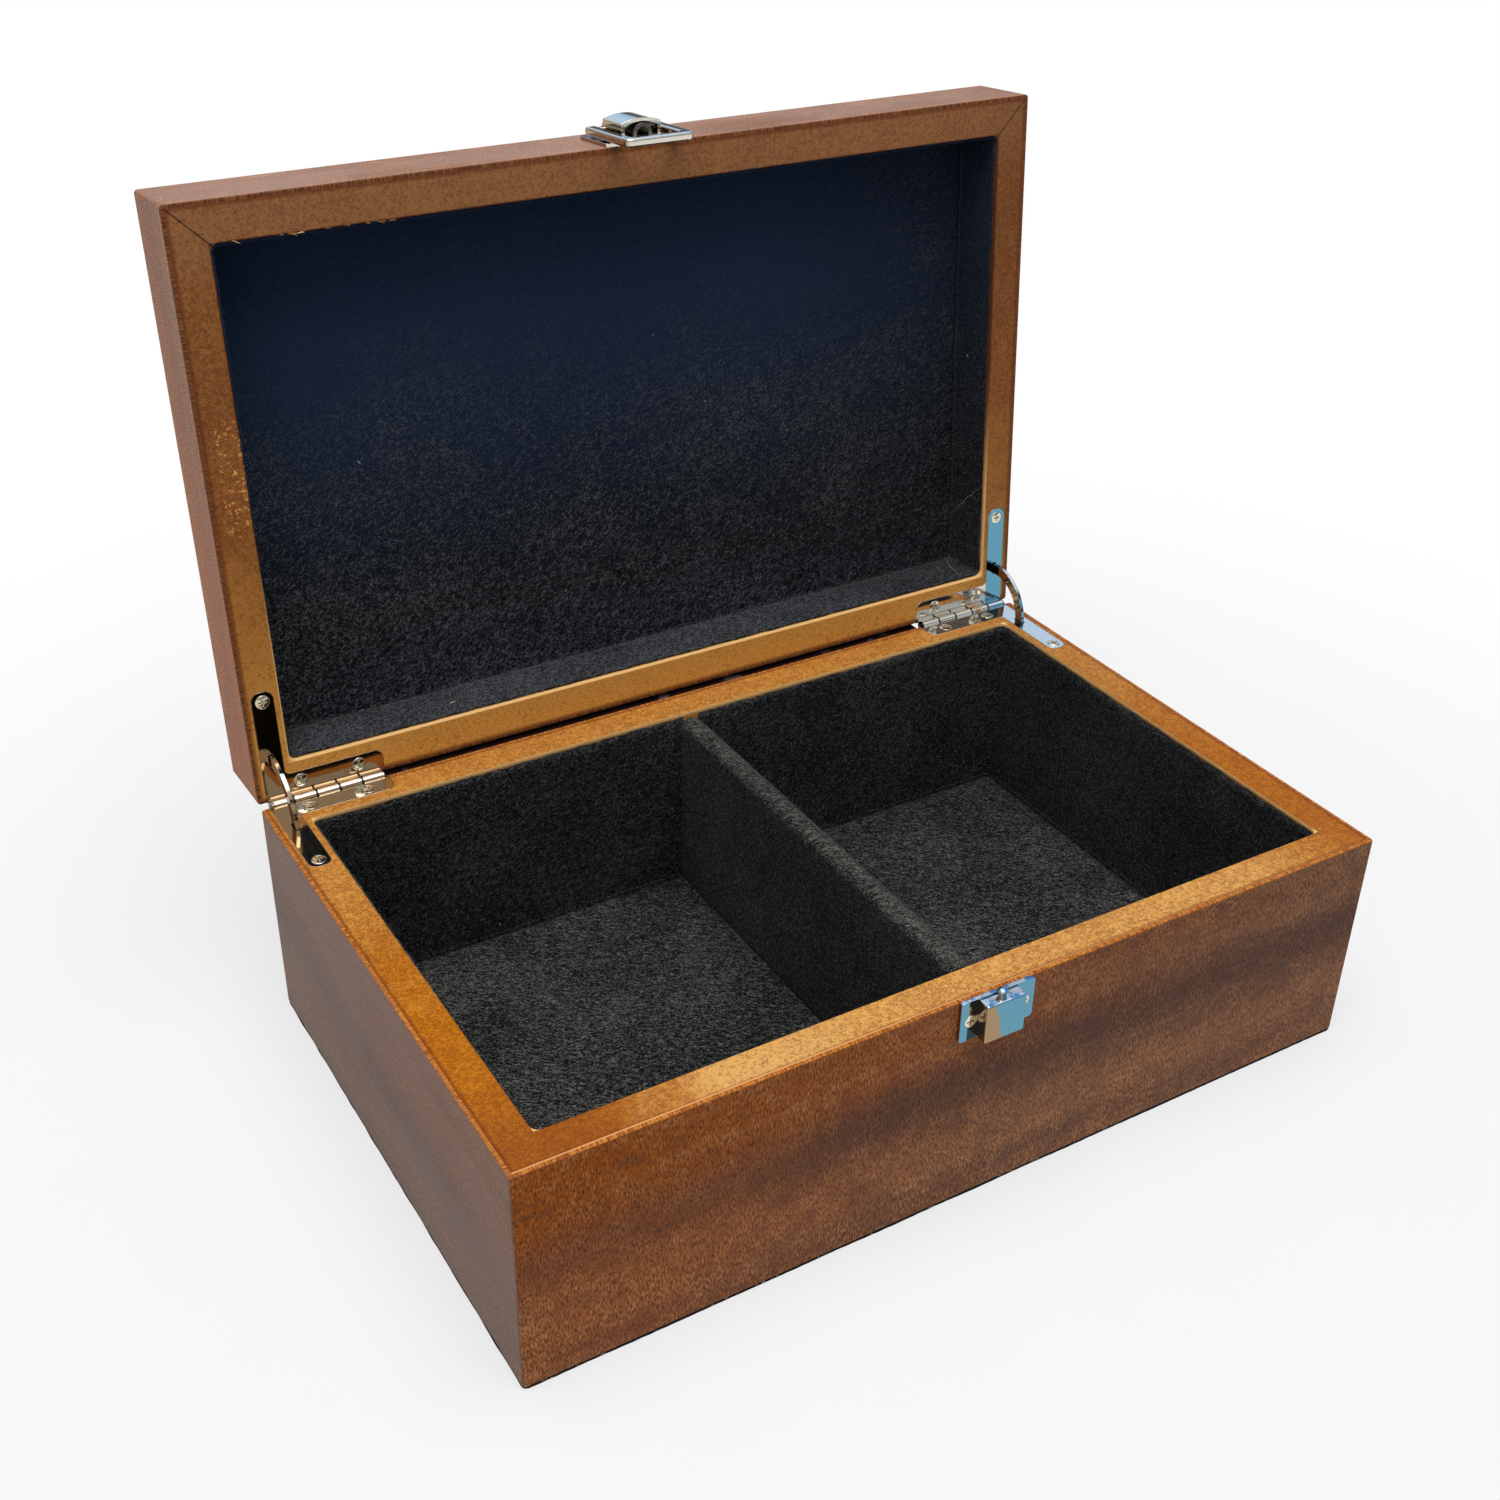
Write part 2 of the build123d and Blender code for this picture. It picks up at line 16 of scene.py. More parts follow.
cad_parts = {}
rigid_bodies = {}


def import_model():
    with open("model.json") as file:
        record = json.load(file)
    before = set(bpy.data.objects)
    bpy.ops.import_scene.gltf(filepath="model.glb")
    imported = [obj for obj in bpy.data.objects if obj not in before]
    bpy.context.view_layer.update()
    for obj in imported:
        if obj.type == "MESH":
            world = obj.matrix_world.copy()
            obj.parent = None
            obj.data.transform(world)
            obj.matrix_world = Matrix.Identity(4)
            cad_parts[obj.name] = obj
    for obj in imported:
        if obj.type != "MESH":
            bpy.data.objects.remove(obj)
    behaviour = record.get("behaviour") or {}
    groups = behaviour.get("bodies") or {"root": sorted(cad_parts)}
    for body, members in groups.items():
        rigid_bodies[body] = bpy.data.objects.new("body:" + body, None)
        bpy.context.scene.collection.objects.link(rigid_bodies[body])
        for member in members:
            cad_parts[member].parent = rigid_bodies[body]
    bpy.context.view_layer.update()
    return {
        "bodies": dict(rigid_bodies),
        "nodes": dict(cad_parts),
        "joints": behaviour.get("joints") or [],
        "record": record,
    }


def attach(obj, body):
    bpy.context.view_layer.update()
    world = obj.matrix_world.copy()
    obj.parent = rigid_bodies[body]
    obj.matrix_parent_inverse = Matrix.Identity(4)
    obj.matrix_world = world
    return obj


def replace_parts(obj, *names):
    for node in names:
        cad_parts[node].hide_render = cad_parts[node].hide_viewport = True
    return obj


LOG = logging.getLogger("chess_box")
MM = 0.001
Colour = tuple[float, float, float]
Spot = tuple[float, float, float]


# ---------------------------------------------------------------- shader sums


class Sock:
    """An output socket on which Python sums add Math or Vector Math nodes."""

    def __init__(self, bench: "Bench", socket: bpy.types.NodeSocket) -> None:
        """Keeps the socket and the tree that it belongs to."""
        self.bench = bench
        self.socket = socket

    def _sum(self, word: str, first: object, second: object) -> "Sock":
        """Adds one Math node, or one Vector Math node where this socket is a vector.

        Args:
            word: the node's operation.
            first: its first value.
            second: its second value.

        Returns:
            The node's result.
        """
        if self.socket.type == "VECTOR":
            return self.bench.node("ShaderNodeVectorMath", {"operation": word}, {0: first, 1: second})
        return self.bench.node("ShaderNodeMath", {"operation": word}, {0: first, 1: second})

    def __add__(self, other: object) -> "Sock":
        """This plus other."""
        return self._sum("ADD", self, other)

    def __radd__(self, other: object) -> "Sock":
        """Other plus this."""
        return self._sum("ADD", other, self)

    def __sub__(self, other: object) -> "Sock":
        """This less other."""
        return self._sum("SUBTRACT", self, other)

    def __rsub__(self, other: object) -> "Sock":
        """Other less this."""
        return self._sum("SUBTRACT", other, self)

    def __mul__(self, other: object) -> "Sock":
        """This times other."""
        return self._sum("MULTIPLY", self, other)

    def __rmul__(self, other: object) -> "Sock":
        """Other times this."""
        return self._sum("MULTIPLY", other, self)

    def __truediv__(self, other: object) -> "Sock":
        """This over other."""
        return self._sum("DIVIDE", self, other)

    def __pow__(self, other: object) -> "Sock":
        """This to the power of other."""
        return self._sum("POWER", self, other)

    def __abs__(self) -> "Sock":
        """This without its sign."""
        return self.bench.node("ShaderNodeMath", {"operation": "ABSOLUTE"}, {0: self})

    def least(self, other: object) -> "Sock":
        """The smaller of this and other."""
        return self._sum("MINIMUM", self, other)

    def most(self, other: object) -> "Sock":
        """The larger of this and other."""
        return self._sum("MAXIMUM", self, other)

    def rise(self, start: float, stop: float) -> "Sock":
        """A smooth step that is 0 where this is start and 1 where it is stop.

        Args:
            start: the value that gives 0.
            stop: the value that gives 1; it may be the smaller one.

        Returns:
            The step, held between 0 and 1.
        """
        if start < stop:
            sockets = {"Value": self, "From Min": start, "From Max": stop}
            return self.bench.node("ShaderNodeMapRange", {"interpolation_type": "SMOOTHSTEP"}, sockets)
        return 1 - self.rise(stop, start)

    def band(self, centre: object, half: float) -> "Sock":
        """A soft band: 1 where this equals centre, falling to 0 at half away from it."""
        return (1 - abs(self - centre) / half).most(0).rise(0, 1)


class Bench:
    """The node tree of one material or of the world, with one method that adds any node."""

    def __init__(self, name: str, tree: bpy.types.NodeTree | None = None) -> None:
        """Empties the given tree, or starts a material of that name."""
        if tree is None:
            self.material = bpy.data.materials.new(name)
            self.material.use_nodes = True
            tree = self.material.node_tree
        self.tree = tree
        self.tree.nodes.clear()

    def out_of(self, sock: Sock, word: str) -> Sock:
        """Another output of the node that a Sock comes from."""
        return Sock(self, sock.socket.node.outputs[word])

    def node(
        self,
        kind: str,
        settings: Mapping[str, object] | None = None,
        sockets: Mapping[object, object] | None = None,
        out: object = 0,
    ) -> Sock:
        """Adds a node: its settings first, then the values or links of its sockets.

        Args:
            kind: the node's type.
            settings: its properties by name; stops is a ramp's list of places and colours.
            sockets: values or Socks by the socket's name or number.
            out: the name or number of the output that is returned.

        Returns:
            That output.
        """
        made = self.tree.nodes.new(kind)
        for word, value in (settings or {}).items():
            if word == "stops":
                self._stops(made.color_ramp, value)
            else:
                setattr(made, word, value)
        for word, value in (sockets or {}).items():
            if isinstance(value, Sock):
                self.tree.links.new(value.socket, made.inputs[word])
            else:
                made.inputs[word].default_value = value
        return Sock(self, made.outputs[out])

    @staticmethod
    def _stops(ramp: bpy.types.ColorRamp, stops: Sequence[tuple]) -> None:
        """Writes a ramp's places and colours."""
        while len(ramp.elements) < len(stops):
            ramp.elements.new(1.0)
        for element, (place, colour) in zip(ramp.elements, stops):
            element.position = place
            element.color = (*colour, 1.0)

    def place(self, turn: Sequence[float] = (0, 0, 0), move: Sequence[float] = (0, 0, 0)) -> Sock:
        """The point on the object, turned and then moved, in metres."""
        here = self.node("ShaderNodeTexCoord", None, None, "Object")
        sockets = {"Vector": here, "Location": tuple(move), "Rotation": tuple(turn)}
        return self.node("ShaderNodeMapping", {"vector_type": "POINT"}, sockets)

    def turned(self, point: Sock, turn: Sequence[float]) -> Sock:
        """The point turned about the origin."""
        sockets = {"Vector": point, "Rotation": tuple(turn)}
        return self.node("ShaderNodeMapping", {"vector_type": "POINT"}, sockets)

    def axes(self, point: Sock) -> tuple[Sock, Sock, Sock]:
        """The three parts of a vector."""
        split = self.node("ShaderNodeSeparateXYZ", None, {0: point})
        outputs = split.socket.node.outputs
        return Sock(self, outputs[0]), Sock(self, outputs[1]), Sock(self, outputs[2])

    def vector(self, x: object, y: object, z: object) -> Sock:
        """A vector from three parts."""
        return self.node("ShaderNodeCombineXYZ", None, {0: x, 1: y, 2: z})

    def scaled(self, point: Sock, cells: float | Sequence[float]) -> Sock:
        """A vector times one factor, or with each part times its own."""
        parts = cells if isinstance(cells, Sequence) else (cells, cells, cells)
        return point * self.vector(*parts)

    def noise(
        self, point: Sock, cells: float | Sequence[float], detail: float = 3.0, rough: float = 0.55
    ) -> Sock:
        """Noise about 0.5.

        Args:
            point: the place, in metres.
            cells: how many cells a metre holds, all ways alike or along x, y and z.
            detail: how many finer layers it has.
            rough: how strong each finer layer is.

        Returns:
            The noise's value.
        """
        sockets = {"Vector": self.scaled(point, cells), "Scale": 1.0, "Detail": detail, "Roughness": rough}
        return self.node("ShaderNodeTexNoise", {"noise_dimensions": "3D"}, sockets, "Fac")

    def cells(self, point: Sock, cells: float) -> Sock:
        """Distance to the nearest scattered point, in cells, of which a metre holds that many."""
        sockets = {"Vector": self.scaled(point, cells), "Scale": 1.0}
        return self.node("ShaderNodeTexVoronoi", {"voronoi_dimensions": "3D"}, sockets, 0)

    def ramp(self, value: Sock, stops: Sequence[tuple]) -> Sock:
        """The colour at that value on a row of stops."""
        return self.node("ShaderNodeValToRGB", {"stops": stops}, {0: value}, "Color")

    def mix(self, share: object, first: object, second: object, blend: str = "MIX") -> Sock:
        """One colour laid over another.

        Args:
            share: how much of the second shows.
            first: the colour below, as a Sock or three numbers.
            second: the colour above, as a Sock or three numbers.
            blend: how the second is laid on.

        Returns:
            The mixed colour.
        """
        settings = {"data_type": "RGBA", "blend_type": blend, "clamp_factor": True}
        whole = [value if isinstance(value, Sock) else (*value, 1.0) for value in (first, second)]
        return self.node("ShaderNodeMix", settings, {0: share, 6: whole[0], 7: whole[1]}, 2)

    def bump(self, height: Sock, depth: float, strength: float = 1.0, below: Sock | None = None) -> Sock:
        """A normal bent by a height of 0 to 1 that stands for depth in metres."""
        sockets = {"Height": height, "Distance": depth, "Strength": strength}
        if below is not None:
            sockets["Normal"] = below
        return self.node("ShaderNodeBump", None, sockets, "Normal")

    def surface(
        self, colour: Sock, roughness: object, normal: Sock | None = None, **fixed: object
    ) -> bpy.types.Material:
        """Ends the tree with a Principled shader.

        Args:
            colour: its base colour.
            roughness: its roughness.
            normal: its bent normal.
            fixed: further sockets by name, with _ for a space.

        Returns:
            The finished material.
        """
        sockets = {"Base Color": colour, "Roughness": roughness}
        if normal is not None:
            sockets["Normal"] = normal
        sockets.update({word.replace("_", " "): value for word, value in fixed.items()})
        self.node_output(self.node("ShaderNodeBsdfPrincipled", None, sockets))
        return self.material

    def node_output(self, shader: Sock) -> None:
        """Joins a shader to the material's output."""
        end = self.tree.nodes.new("ShaderNodeOutputMaterial")
        self.tree.links.new(shader.socket, end.inputs[0])


def srgb(red: float, green: float, blue: float) -> Colour:
    """A colour as it looks on screen, 0 to 255, as the linear numbers that shaders take."""
    parts = (red / 255, green / 255, blue / 255)
    return tuple(p / 12.92 if p <= 0.04045 else ((p + 0.055) / 1.055) ** 2.4 for p in parts)


# ---------------------------------------------------------------- places


@dataclass(frozen=True)
class Turned:
    """The frame in which a part of the box is measured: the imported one, turned about the hinge.

    Attributes:
        pivot: y and z of the hinge's axis.
        angle: the turn about +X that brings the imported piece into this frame, in radians.
    """

    pivot: tuple[float, float]
    angle: float = 0.0

    def move(self) -> tuple[float, float, float]:
        """What is added after the turn: c - R c, with c on the axis."""
        y, z = self.pivot
        cos, sin = math.cos(self.angle), math.sin(self.angle)
        return (0.0, y - (cos * y - sin * z), z - (sin * y + cos * z))

    def point(self, bench: Bench) -> Sock:
        """The place of a shaded point in this frame."""
        return bench.place((self.angle, 0.0, 0.0), self.move())

    def to_frame(self, points: np.ndarray) -> np.ndarray:
        """Packed places as places in this frame: R p + (c - R c)."""
        cos, sin = math.cos(self.angle), math.sin(self.angle)
        x, y, z = points[..., 0], points[..., 1], points[..., 2]
        return np.stack([x, cos * y - sin * z, sin * y + cos * z], -1) + np.array(self.move())

    def to_packed(self, points: np.ndarray) -> np.ndarray:
        """Places in this frame as packed places: R^-1 (p - (c - R c))."""
        cos, sin = math.cos(self.angle), math.sin(self.angle)
        moved = points - np.array(self.move())
        x, y, z = moved[..., 0], moved[..., 1], moved[..., 2]
        return np.stack([x, cos * y + sin * z, -sin * y + cos * z], -1)


@dataclass(frozen=True)
class Extent:
    """The lowest and highest corner of some nodes, measured in a frame."""

    low: np.ndarray
    high: np.ndarray

    @classmethod
    def of(cls, frame: Turned, *nodes: str) -> "Extent":
        """The box round the corners of those nodes' own vertices.

        Args:
            frame: the frame it is measured in.
            nodes: their names.

        Returns:
            The extent.
        """
        found = []
        for name in nodes:
            mesh = bpy.data.objects[name].data
            flat = np.zeros(len(mesh.vertices) * 3)
            mesh.vertices.foreach_get("co", flat)
            found.append(frame.to_frame(flat.reshape(-1, 3)))
        points = np.concatenate(found)
        return cls(points.min(0), points.max(0))

    @property
    def left(self) -> float:
        """Its lowest x."""
        return float(self.low[0])

    @property
    def right(self) -> float:
        """Its highest x."""
        return float(self.high[0])

    @property
    def front(self) -> float:
        """Its lowest y."""
        return float(self.low[1])

    @property
    def back(self) -> float:
        """Its highest y."""
        return float(self.high[1])

    @property
    def foot(self) -> float:
        """Its lowest z."""
        return float(self.low[2])

    @property
    def top(self) -> float:
        """Its highest z."""
        return float(self.high[2])


# ---------------------------------------------------------------- mesh work


def wave(points: np.ndarray, cell: float, seed: int, layers: int = 6) -> np.ndarray:
    """Smooth unevenness of about -1 to 1: the mean of sines, sum sin(k_i . p + f_i) / sqrt(n / 2).

    Args:
        points: places, with the coordinates last.
        cell: the length of one ripple, in metres.
        seed: picks the directions k_i and the shifts f_i.
        layers: how many sines there are.

    Returns:
        One number per point.
    """
    dice = np.random.default_rng(seed)
    turns = dice.normal(size=(layers, 3))
    turns *= 2 * math.pi / cell / np.linalg.norm(turns, axis=1, keepdims=True)
    shifts = dice.uniform(0, 2 * math.pi, layers)
    return np.sin(points @ turns.T + shifts).sum(-1) / math.sqrt(layers * 2)


def grid_faces(rows: int, columns: int, round_columns: bool = False) -> np.ndarray:
    """Quads of a grid of points, row by row.

    Args:
        rows: points along the first parameter.
        columns: points along the second.
        round_columns: joins the last column to the first.

    Returns:
        Four indices per quad.
    """
    row = np.arange(rows - 1)[:, None] * columns
    column = np.arange(columns if round_columns else columns - 1)[None, :]
    beside = (column + 1) % columns
    corners = (row + column, row + columns + column, row + columns + beside, row + beside)
    return np.stack(corners, -1).reshape(-1, 4)


def make_mesh(
    name: str, points: np.ndarray, faces: np.ndarray, finish: bpy.types.Material
) -> bpy.types.Object:
    """A mesh object at the origin.

    Args:
        name: its name.
        points: its vertices.
        faces: indices, four a face.
        finish: its material.

    Returns:
        The object.
    """
    mesh = bpy.data.meshes.new(name)
    mesh.from_pydata(points.reshape(-1, 3).tolist(), [], faces.tolist())
    mesh.materials.append(finish)
    made = bpy.data.objects.new(name, mesh)
    bpy.context.scene.collection.objects.link(made)
    return made


def make_piece(
    name: str, points: np.ndarray, faces: np.ndarray, body: str, finish: bpy.types.Material
) -> bpy.types.Object:
    """A smooth mesh object at the origin that rides on a body.

    Args:
        name: the piece's name.
        points: its vertices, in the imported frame.
        faces: indices, four a face.
        body: the body that carries it.
        finish: its material.

    Returns:
        The object.
    """
    made = make_mesh(name, points, faces, finish)
    made.data.validate()
    made.data.polygons.foreach_set("use_smooth", np.ones(len(made.data.polygons), bool))
    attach(made, body)
    LOG.info("%s: %d points, on %s", name, len(made.data.vertices), body)
    return made


def thicken(piece: bpy.types.Object, thickness: float, offset: float) -> None:
    """Gives a sheet its thickness, and closes its edge."""
    solid = piece.modifiers.new("thickness", "SOLIDIFY")
    solid.thickness = thickness
    solid.offset = offset
    solid.use_even_offset = False
    solid.use_rim = True


@dataclass(frozen=True)
class Strands:
    """Many short curled fibres as one mesh of thin four-sided tubes.

    Attributes:
        radius: half a fibre's thickness.
        steps: the pieces that a fibre bends in.
        sides: the sides of its tube.
    """

    radius: float = 0.035 * MM
    steps: int = 4
    sides: int = 4

    def mesh(
        self, roots: np.ndarray, heads: np.ndarray, lengths: np.ndarray, curl: float, seed: int
    ) -> tuple[np.ndarray, np.ndarray]:
        """Points and faces of the fibres.

        A fibre's line is p(t) = root + L (t d + curl (t^2 a + sin(5 t) b / 5)), with a and b random and
        square to d.

        Args:
            roots: where the fibres start.
            heads: the way that each one leaves, not yet of length 1.
            lengths: their lengths.
            curl: how strongly they bend.
            seed: picks the bends.

        Returns:
            The points and the quads.
        """
        dice = np.random.default_rng(seed)
        count = len(roots)
        ahead = heads / np.linalg.norm(heads, axis=1, keepdims=True)
        side = np.cross(ahead, dice.normal(size=(count, 3)))
        side /= np.linalg.norm(side, axis=1, keepdims=True)
        other = np.cross(ahead, side)
        t = np.linspace(0, 1, self.steps + 1)[None, :, None]
        bend = side[:, None] * t**2 * dice.uniform(-1, 1, (count, 1, 1))
        sway = other[:, None] * np.sin(5 * t) / 5 * dice.uniform(-1, 1, (count, 1, 1))
        line = roots[:, None] + lengths[:, None, None] * (t * ahead[:, None] + curl * (bend + sway))
        return self.tubes(line, side)

    def tubes(self, lines: np.ndarray, leans: np.ndarray) -> tuple[np.ndarray, np.ndarray]:
        """Tubes round some lines: p(t) + r(t) (cos(k) u + sin(k) w), with u and w square to the line.

        r(t) shrinks toward both ends, and each end is closed by one face.

        Args:
            lines: the lines' points, by line and step.
            leans: for each line, a way that u stays near.

        Returns:
            The points and the quads.
        """
        count, rows = lines.shape[:2]
        ahead = np.gradient(lines, axis=1)
        ahead /= np.linalg.norm(ahead, axis=2, keepdims=True)
        other = np.cross(ahead, leans[:, None])
        other /= np.maximum(np.linalg.norm(other, axis=2, keepdims=True), 1e-9)
        side = np.cross(other, ahead)
        turn = np.arange(self.sides) * 2 * math.pi / self.sides
        around = np.cos(turn)[:, None] * side[:, :, None] + np.sin(turn)[:, None] * other[:, :, None]
        t = np.linspace(0, 1, rows)[:, None, None]
        girth = self.radius * np.sqrt(np.clip(np.sin(math.pi * t), 0.1, 1))
        points = lines[:, :, None] + girth * around
        one = grid_faces(rows, self.sides, round_columns=True)[:, ::-1]
        first = np.arange(self.sides)
        caps = np.stack([first[::-1], first + (rows - 1) * self.sides])
        one = np.concatenate([one, caps])
        faces = (np.arange(count)[:, None, None] * rows * self.sides + one[None]).reshape(-1, 4)
        return points.reshape(-1, 3), faces


# ---------------------------------------------------------------- wood


class Face(Enum):
    """The side of the box that a veneer sheet covers."""

    FRONT = "front"
    BACK = "back"
    LEFT = "left"
    RIGHT = "right"
    TOP = "top"


@dataclass(frozen=True)
class Figure:
    """How the figure of the wood lies on one sheet of veneer.

    Attributes:
        frame: the frame that the sheet is measured in.
        face: the side that it covers.
        shift: moves the pattern, so that no two sheets are alike.
        dusk: how strong its broad dark band is, 0 to 1.
        low_end: the band's height across the grain, at the sheet's lower end.
        high_end: its height at the other end.
        fade: how far the orange ground turns pinkish brown, at the lower and the upper end.
        lift: a factor on the sheet's brightness, painted light for how much light its side gets.
        low_lift: painted light added to that factor under the dark band.
        rim: the height at which the sheet's cut edge shows in the rim, or 0.
        cut: the dark and the pale grain of that edge.
        haze: how much painted sheen, a pale reflection laid into the colour, lies over the finish, 0 to 1.
        gloss: how strongly it mirrors.
    """

    frame: Turned
    face: Face
    shift: float
    dusk: float = 0.7
    low_end: float = 0.036
    high_end: float = 0.052
    fade: tuple[float, float] = (0.0, 1.0)
    lift: float = 1.0
    haze: float = 0.0
    gloss: float = 0.2
    low_lift: float = 0.0
    rim: float = 0.0
    cut: tuple[Colour, Colour] = (srgb(150, 78, 30), srgb(208, 134, 60))


@dataclass(frozen=True)
class VeneerFinish:
    """Satin red-brown veneer: soft broad bands, ragged streaks, and short ripples square to the grain.

    Attributes:
        warm: the orange ground.
        cool: the pinkish brown ground.
        dark: the broad bands.
        deep: the gaps between the ripples.
        light: their crests.
        painted_sheen: the colour of the painted sheen, a pale reflection on the satin finish.
        half_length: half the box's length, along which the ground turns.
    """

    warm: Colour = srgb(168, 86, 8)
    cool: Colour = srgb(143, 98, 70)
    dark: Colour = srgb(94, 65, 54)
    deep: Colour = srgb(70, 38, 24)
    light: Colour = srgb(200, 139, 90)
    painted_sheen: Colour = srgb(176, 150, 140)
    half_length: float = 0.145

    def make(self, name: str, figure: Figure) -> bpy.types.Material:
        """The finish of one sheet.

        Args:
            name: the material's name.
            figure: how its figure lies.

        Returns:
            The material.
        """
        bench = Bench(name)
        x, y, z = bench.axes(figure.frame.point(bench))
        along, across, depth = {
            Face.LEFT: (y, z, x),
            Face.RIGHT: (y, z, x),
            Face.TOP: (x, y, z),
        }.get(figure.face, (x, z, y))
        spot = bench.vector(along + figure.shift, across, depth * 0.3 + figure.shift)
        drift = bench.noise(spot, (8, 24, 9)) - 0.5
        bent = bench.vector(along + figure.shift, across + drift * 0.014, depth * 0.3 + figure.shift)
        sweep = bench.noise(bent, (9, 75, 20), 3, 0.6)
        streak = bench.noise(bent, (34, 420, 60), 4, 0.68)
        curl = bench.noise(bent, (170, 120, 60), 3, 0.62)
        ripple = bench.noise(bent, (2300, 640, 300), 3, 0.6)
        grit = bench.noise(bent, (2600, 2200, 900), 2, 0.6)
        place = along.rise(-self.half_length, self.half_length)
        share = place * (figure.fade[1] - figure.fade[0]) + figure.fade[0]
        low_fade = across.rise(figure.low_end + 0.02, figure.low_end - 0.02) * 0.5
        tone = sweep * 0.4 + streak * 0.3 + curl * 0.3
        dusk, bands = self._bands(bench, across, place, spot, drift, figure)
        gaps = ripple.rise(0.5, 0.4) * 0.6 + grit.rise(0.48, 0.38) * 0.35
        crests = ripple.rise(0.51, 0.62) * curl.rise(0.34, 0.64) * 0.6 * (1 - dusk * 0.6)
        colour = bench.mix(share + low_fade + (sweep - 0.5) * 0.9, self.warm, self.cool)
        colour = bench.mix(tone.rise(0.5, 0.36) * 0.5, colour, self.dark)
        colour = bench.mix(tone.rise(0.5, 0.64) * 0.3, colour, self.light)
        colour = bench.mix(bands, colour, self.dark)
        colour = bench.mix(gaps, colour, self.deep)
        colour = bench.mix(crests, colour, self.light)
        # painted sheen: a pale reflection laid into the colour in clouds
        if figure.haze:
            cloud = bench.noise(spot, (14, 40, 20), 2)
            colour = bench.mix(cloud.rise(0.2, 0.7) * figure.haze, colour, self.painted_sheen)
        # painted light: the sheet's brightness is scaled for how light falls on its side, and raised under
        # the band
        lift = across.rise(figure.low_end + 0.005, figure.low_end - 0.025) * figure.low_lift + figure.lift
        colour = bench.mix(1.0, colour, bench.vector(lift, lift, lift), "MULTIPLY")
        if figure.rim:
            cut_edge = abs(z - figure.rim).rise(0.4 * MM, 0.15 * MM)
            colour = bench.mix(cut_edge, colour, bench.mix(grit.rise(0.44, 0.56), *figure.cut))
        normal = bench.bump(ripple * 0.5 + streak * 0.3 + grit * 0.2, 0.08 * MM, 0.5)
        return bench.surface(colour, 0.42 + 0.16 * curl, normal, Specular_IOR_Level=figure.gloss)

    @staticmethod
    def _bands(
        bench: Bench, across: Sock, place: Sock, spot: Sock, drift: Sock, figure: Figure
    ) -> tuple[Sock, Sock]:
        """The broad dark band along the sheet, with a fainter one below it.

        Args:
            bench: the material's bench.
            across: the place across the grain.
            place: the place along the grain, 0 to 1.
            spot: the place that the noise takes.
            drift: slow noise about 0.
            figure: how the sheet's figure lies.

        Returns:
            Where the broad band is, and how dark both are.
        """
        ragged = (bench.noise(spot, (42, 190, 40), 4, 0.7) - 0.5 + drift) * 0.016
        height = place * (figure.high_end - figure.low_end) + figure.low_end
        broad = (across + ragged).band(height, 0.018)
        faint = (across + ragged).band(height - 0.036, 0.011) * 0.55
        strength = place.rise(0.0, 0.35) * 0.6 + 0.4
        return broad, broad.most(faint) * figure.dusk * strength


@dataclass(frozen=True)
class Rim:
    """The rim of one tray, the flat on its boards.

    Attributes:
        frame: the frame that it is measured in.
        hollow: the opening's extent.
        outer: the boards' extent, inside the veneer.
        height: the height of the flat.
        lid: whether it is the lid's, with darker boards and clear mitre lines at its front corners.
    """

    frame: Turned
    hollow: Extent
    outer: Extent
    height: float
    lid: bool


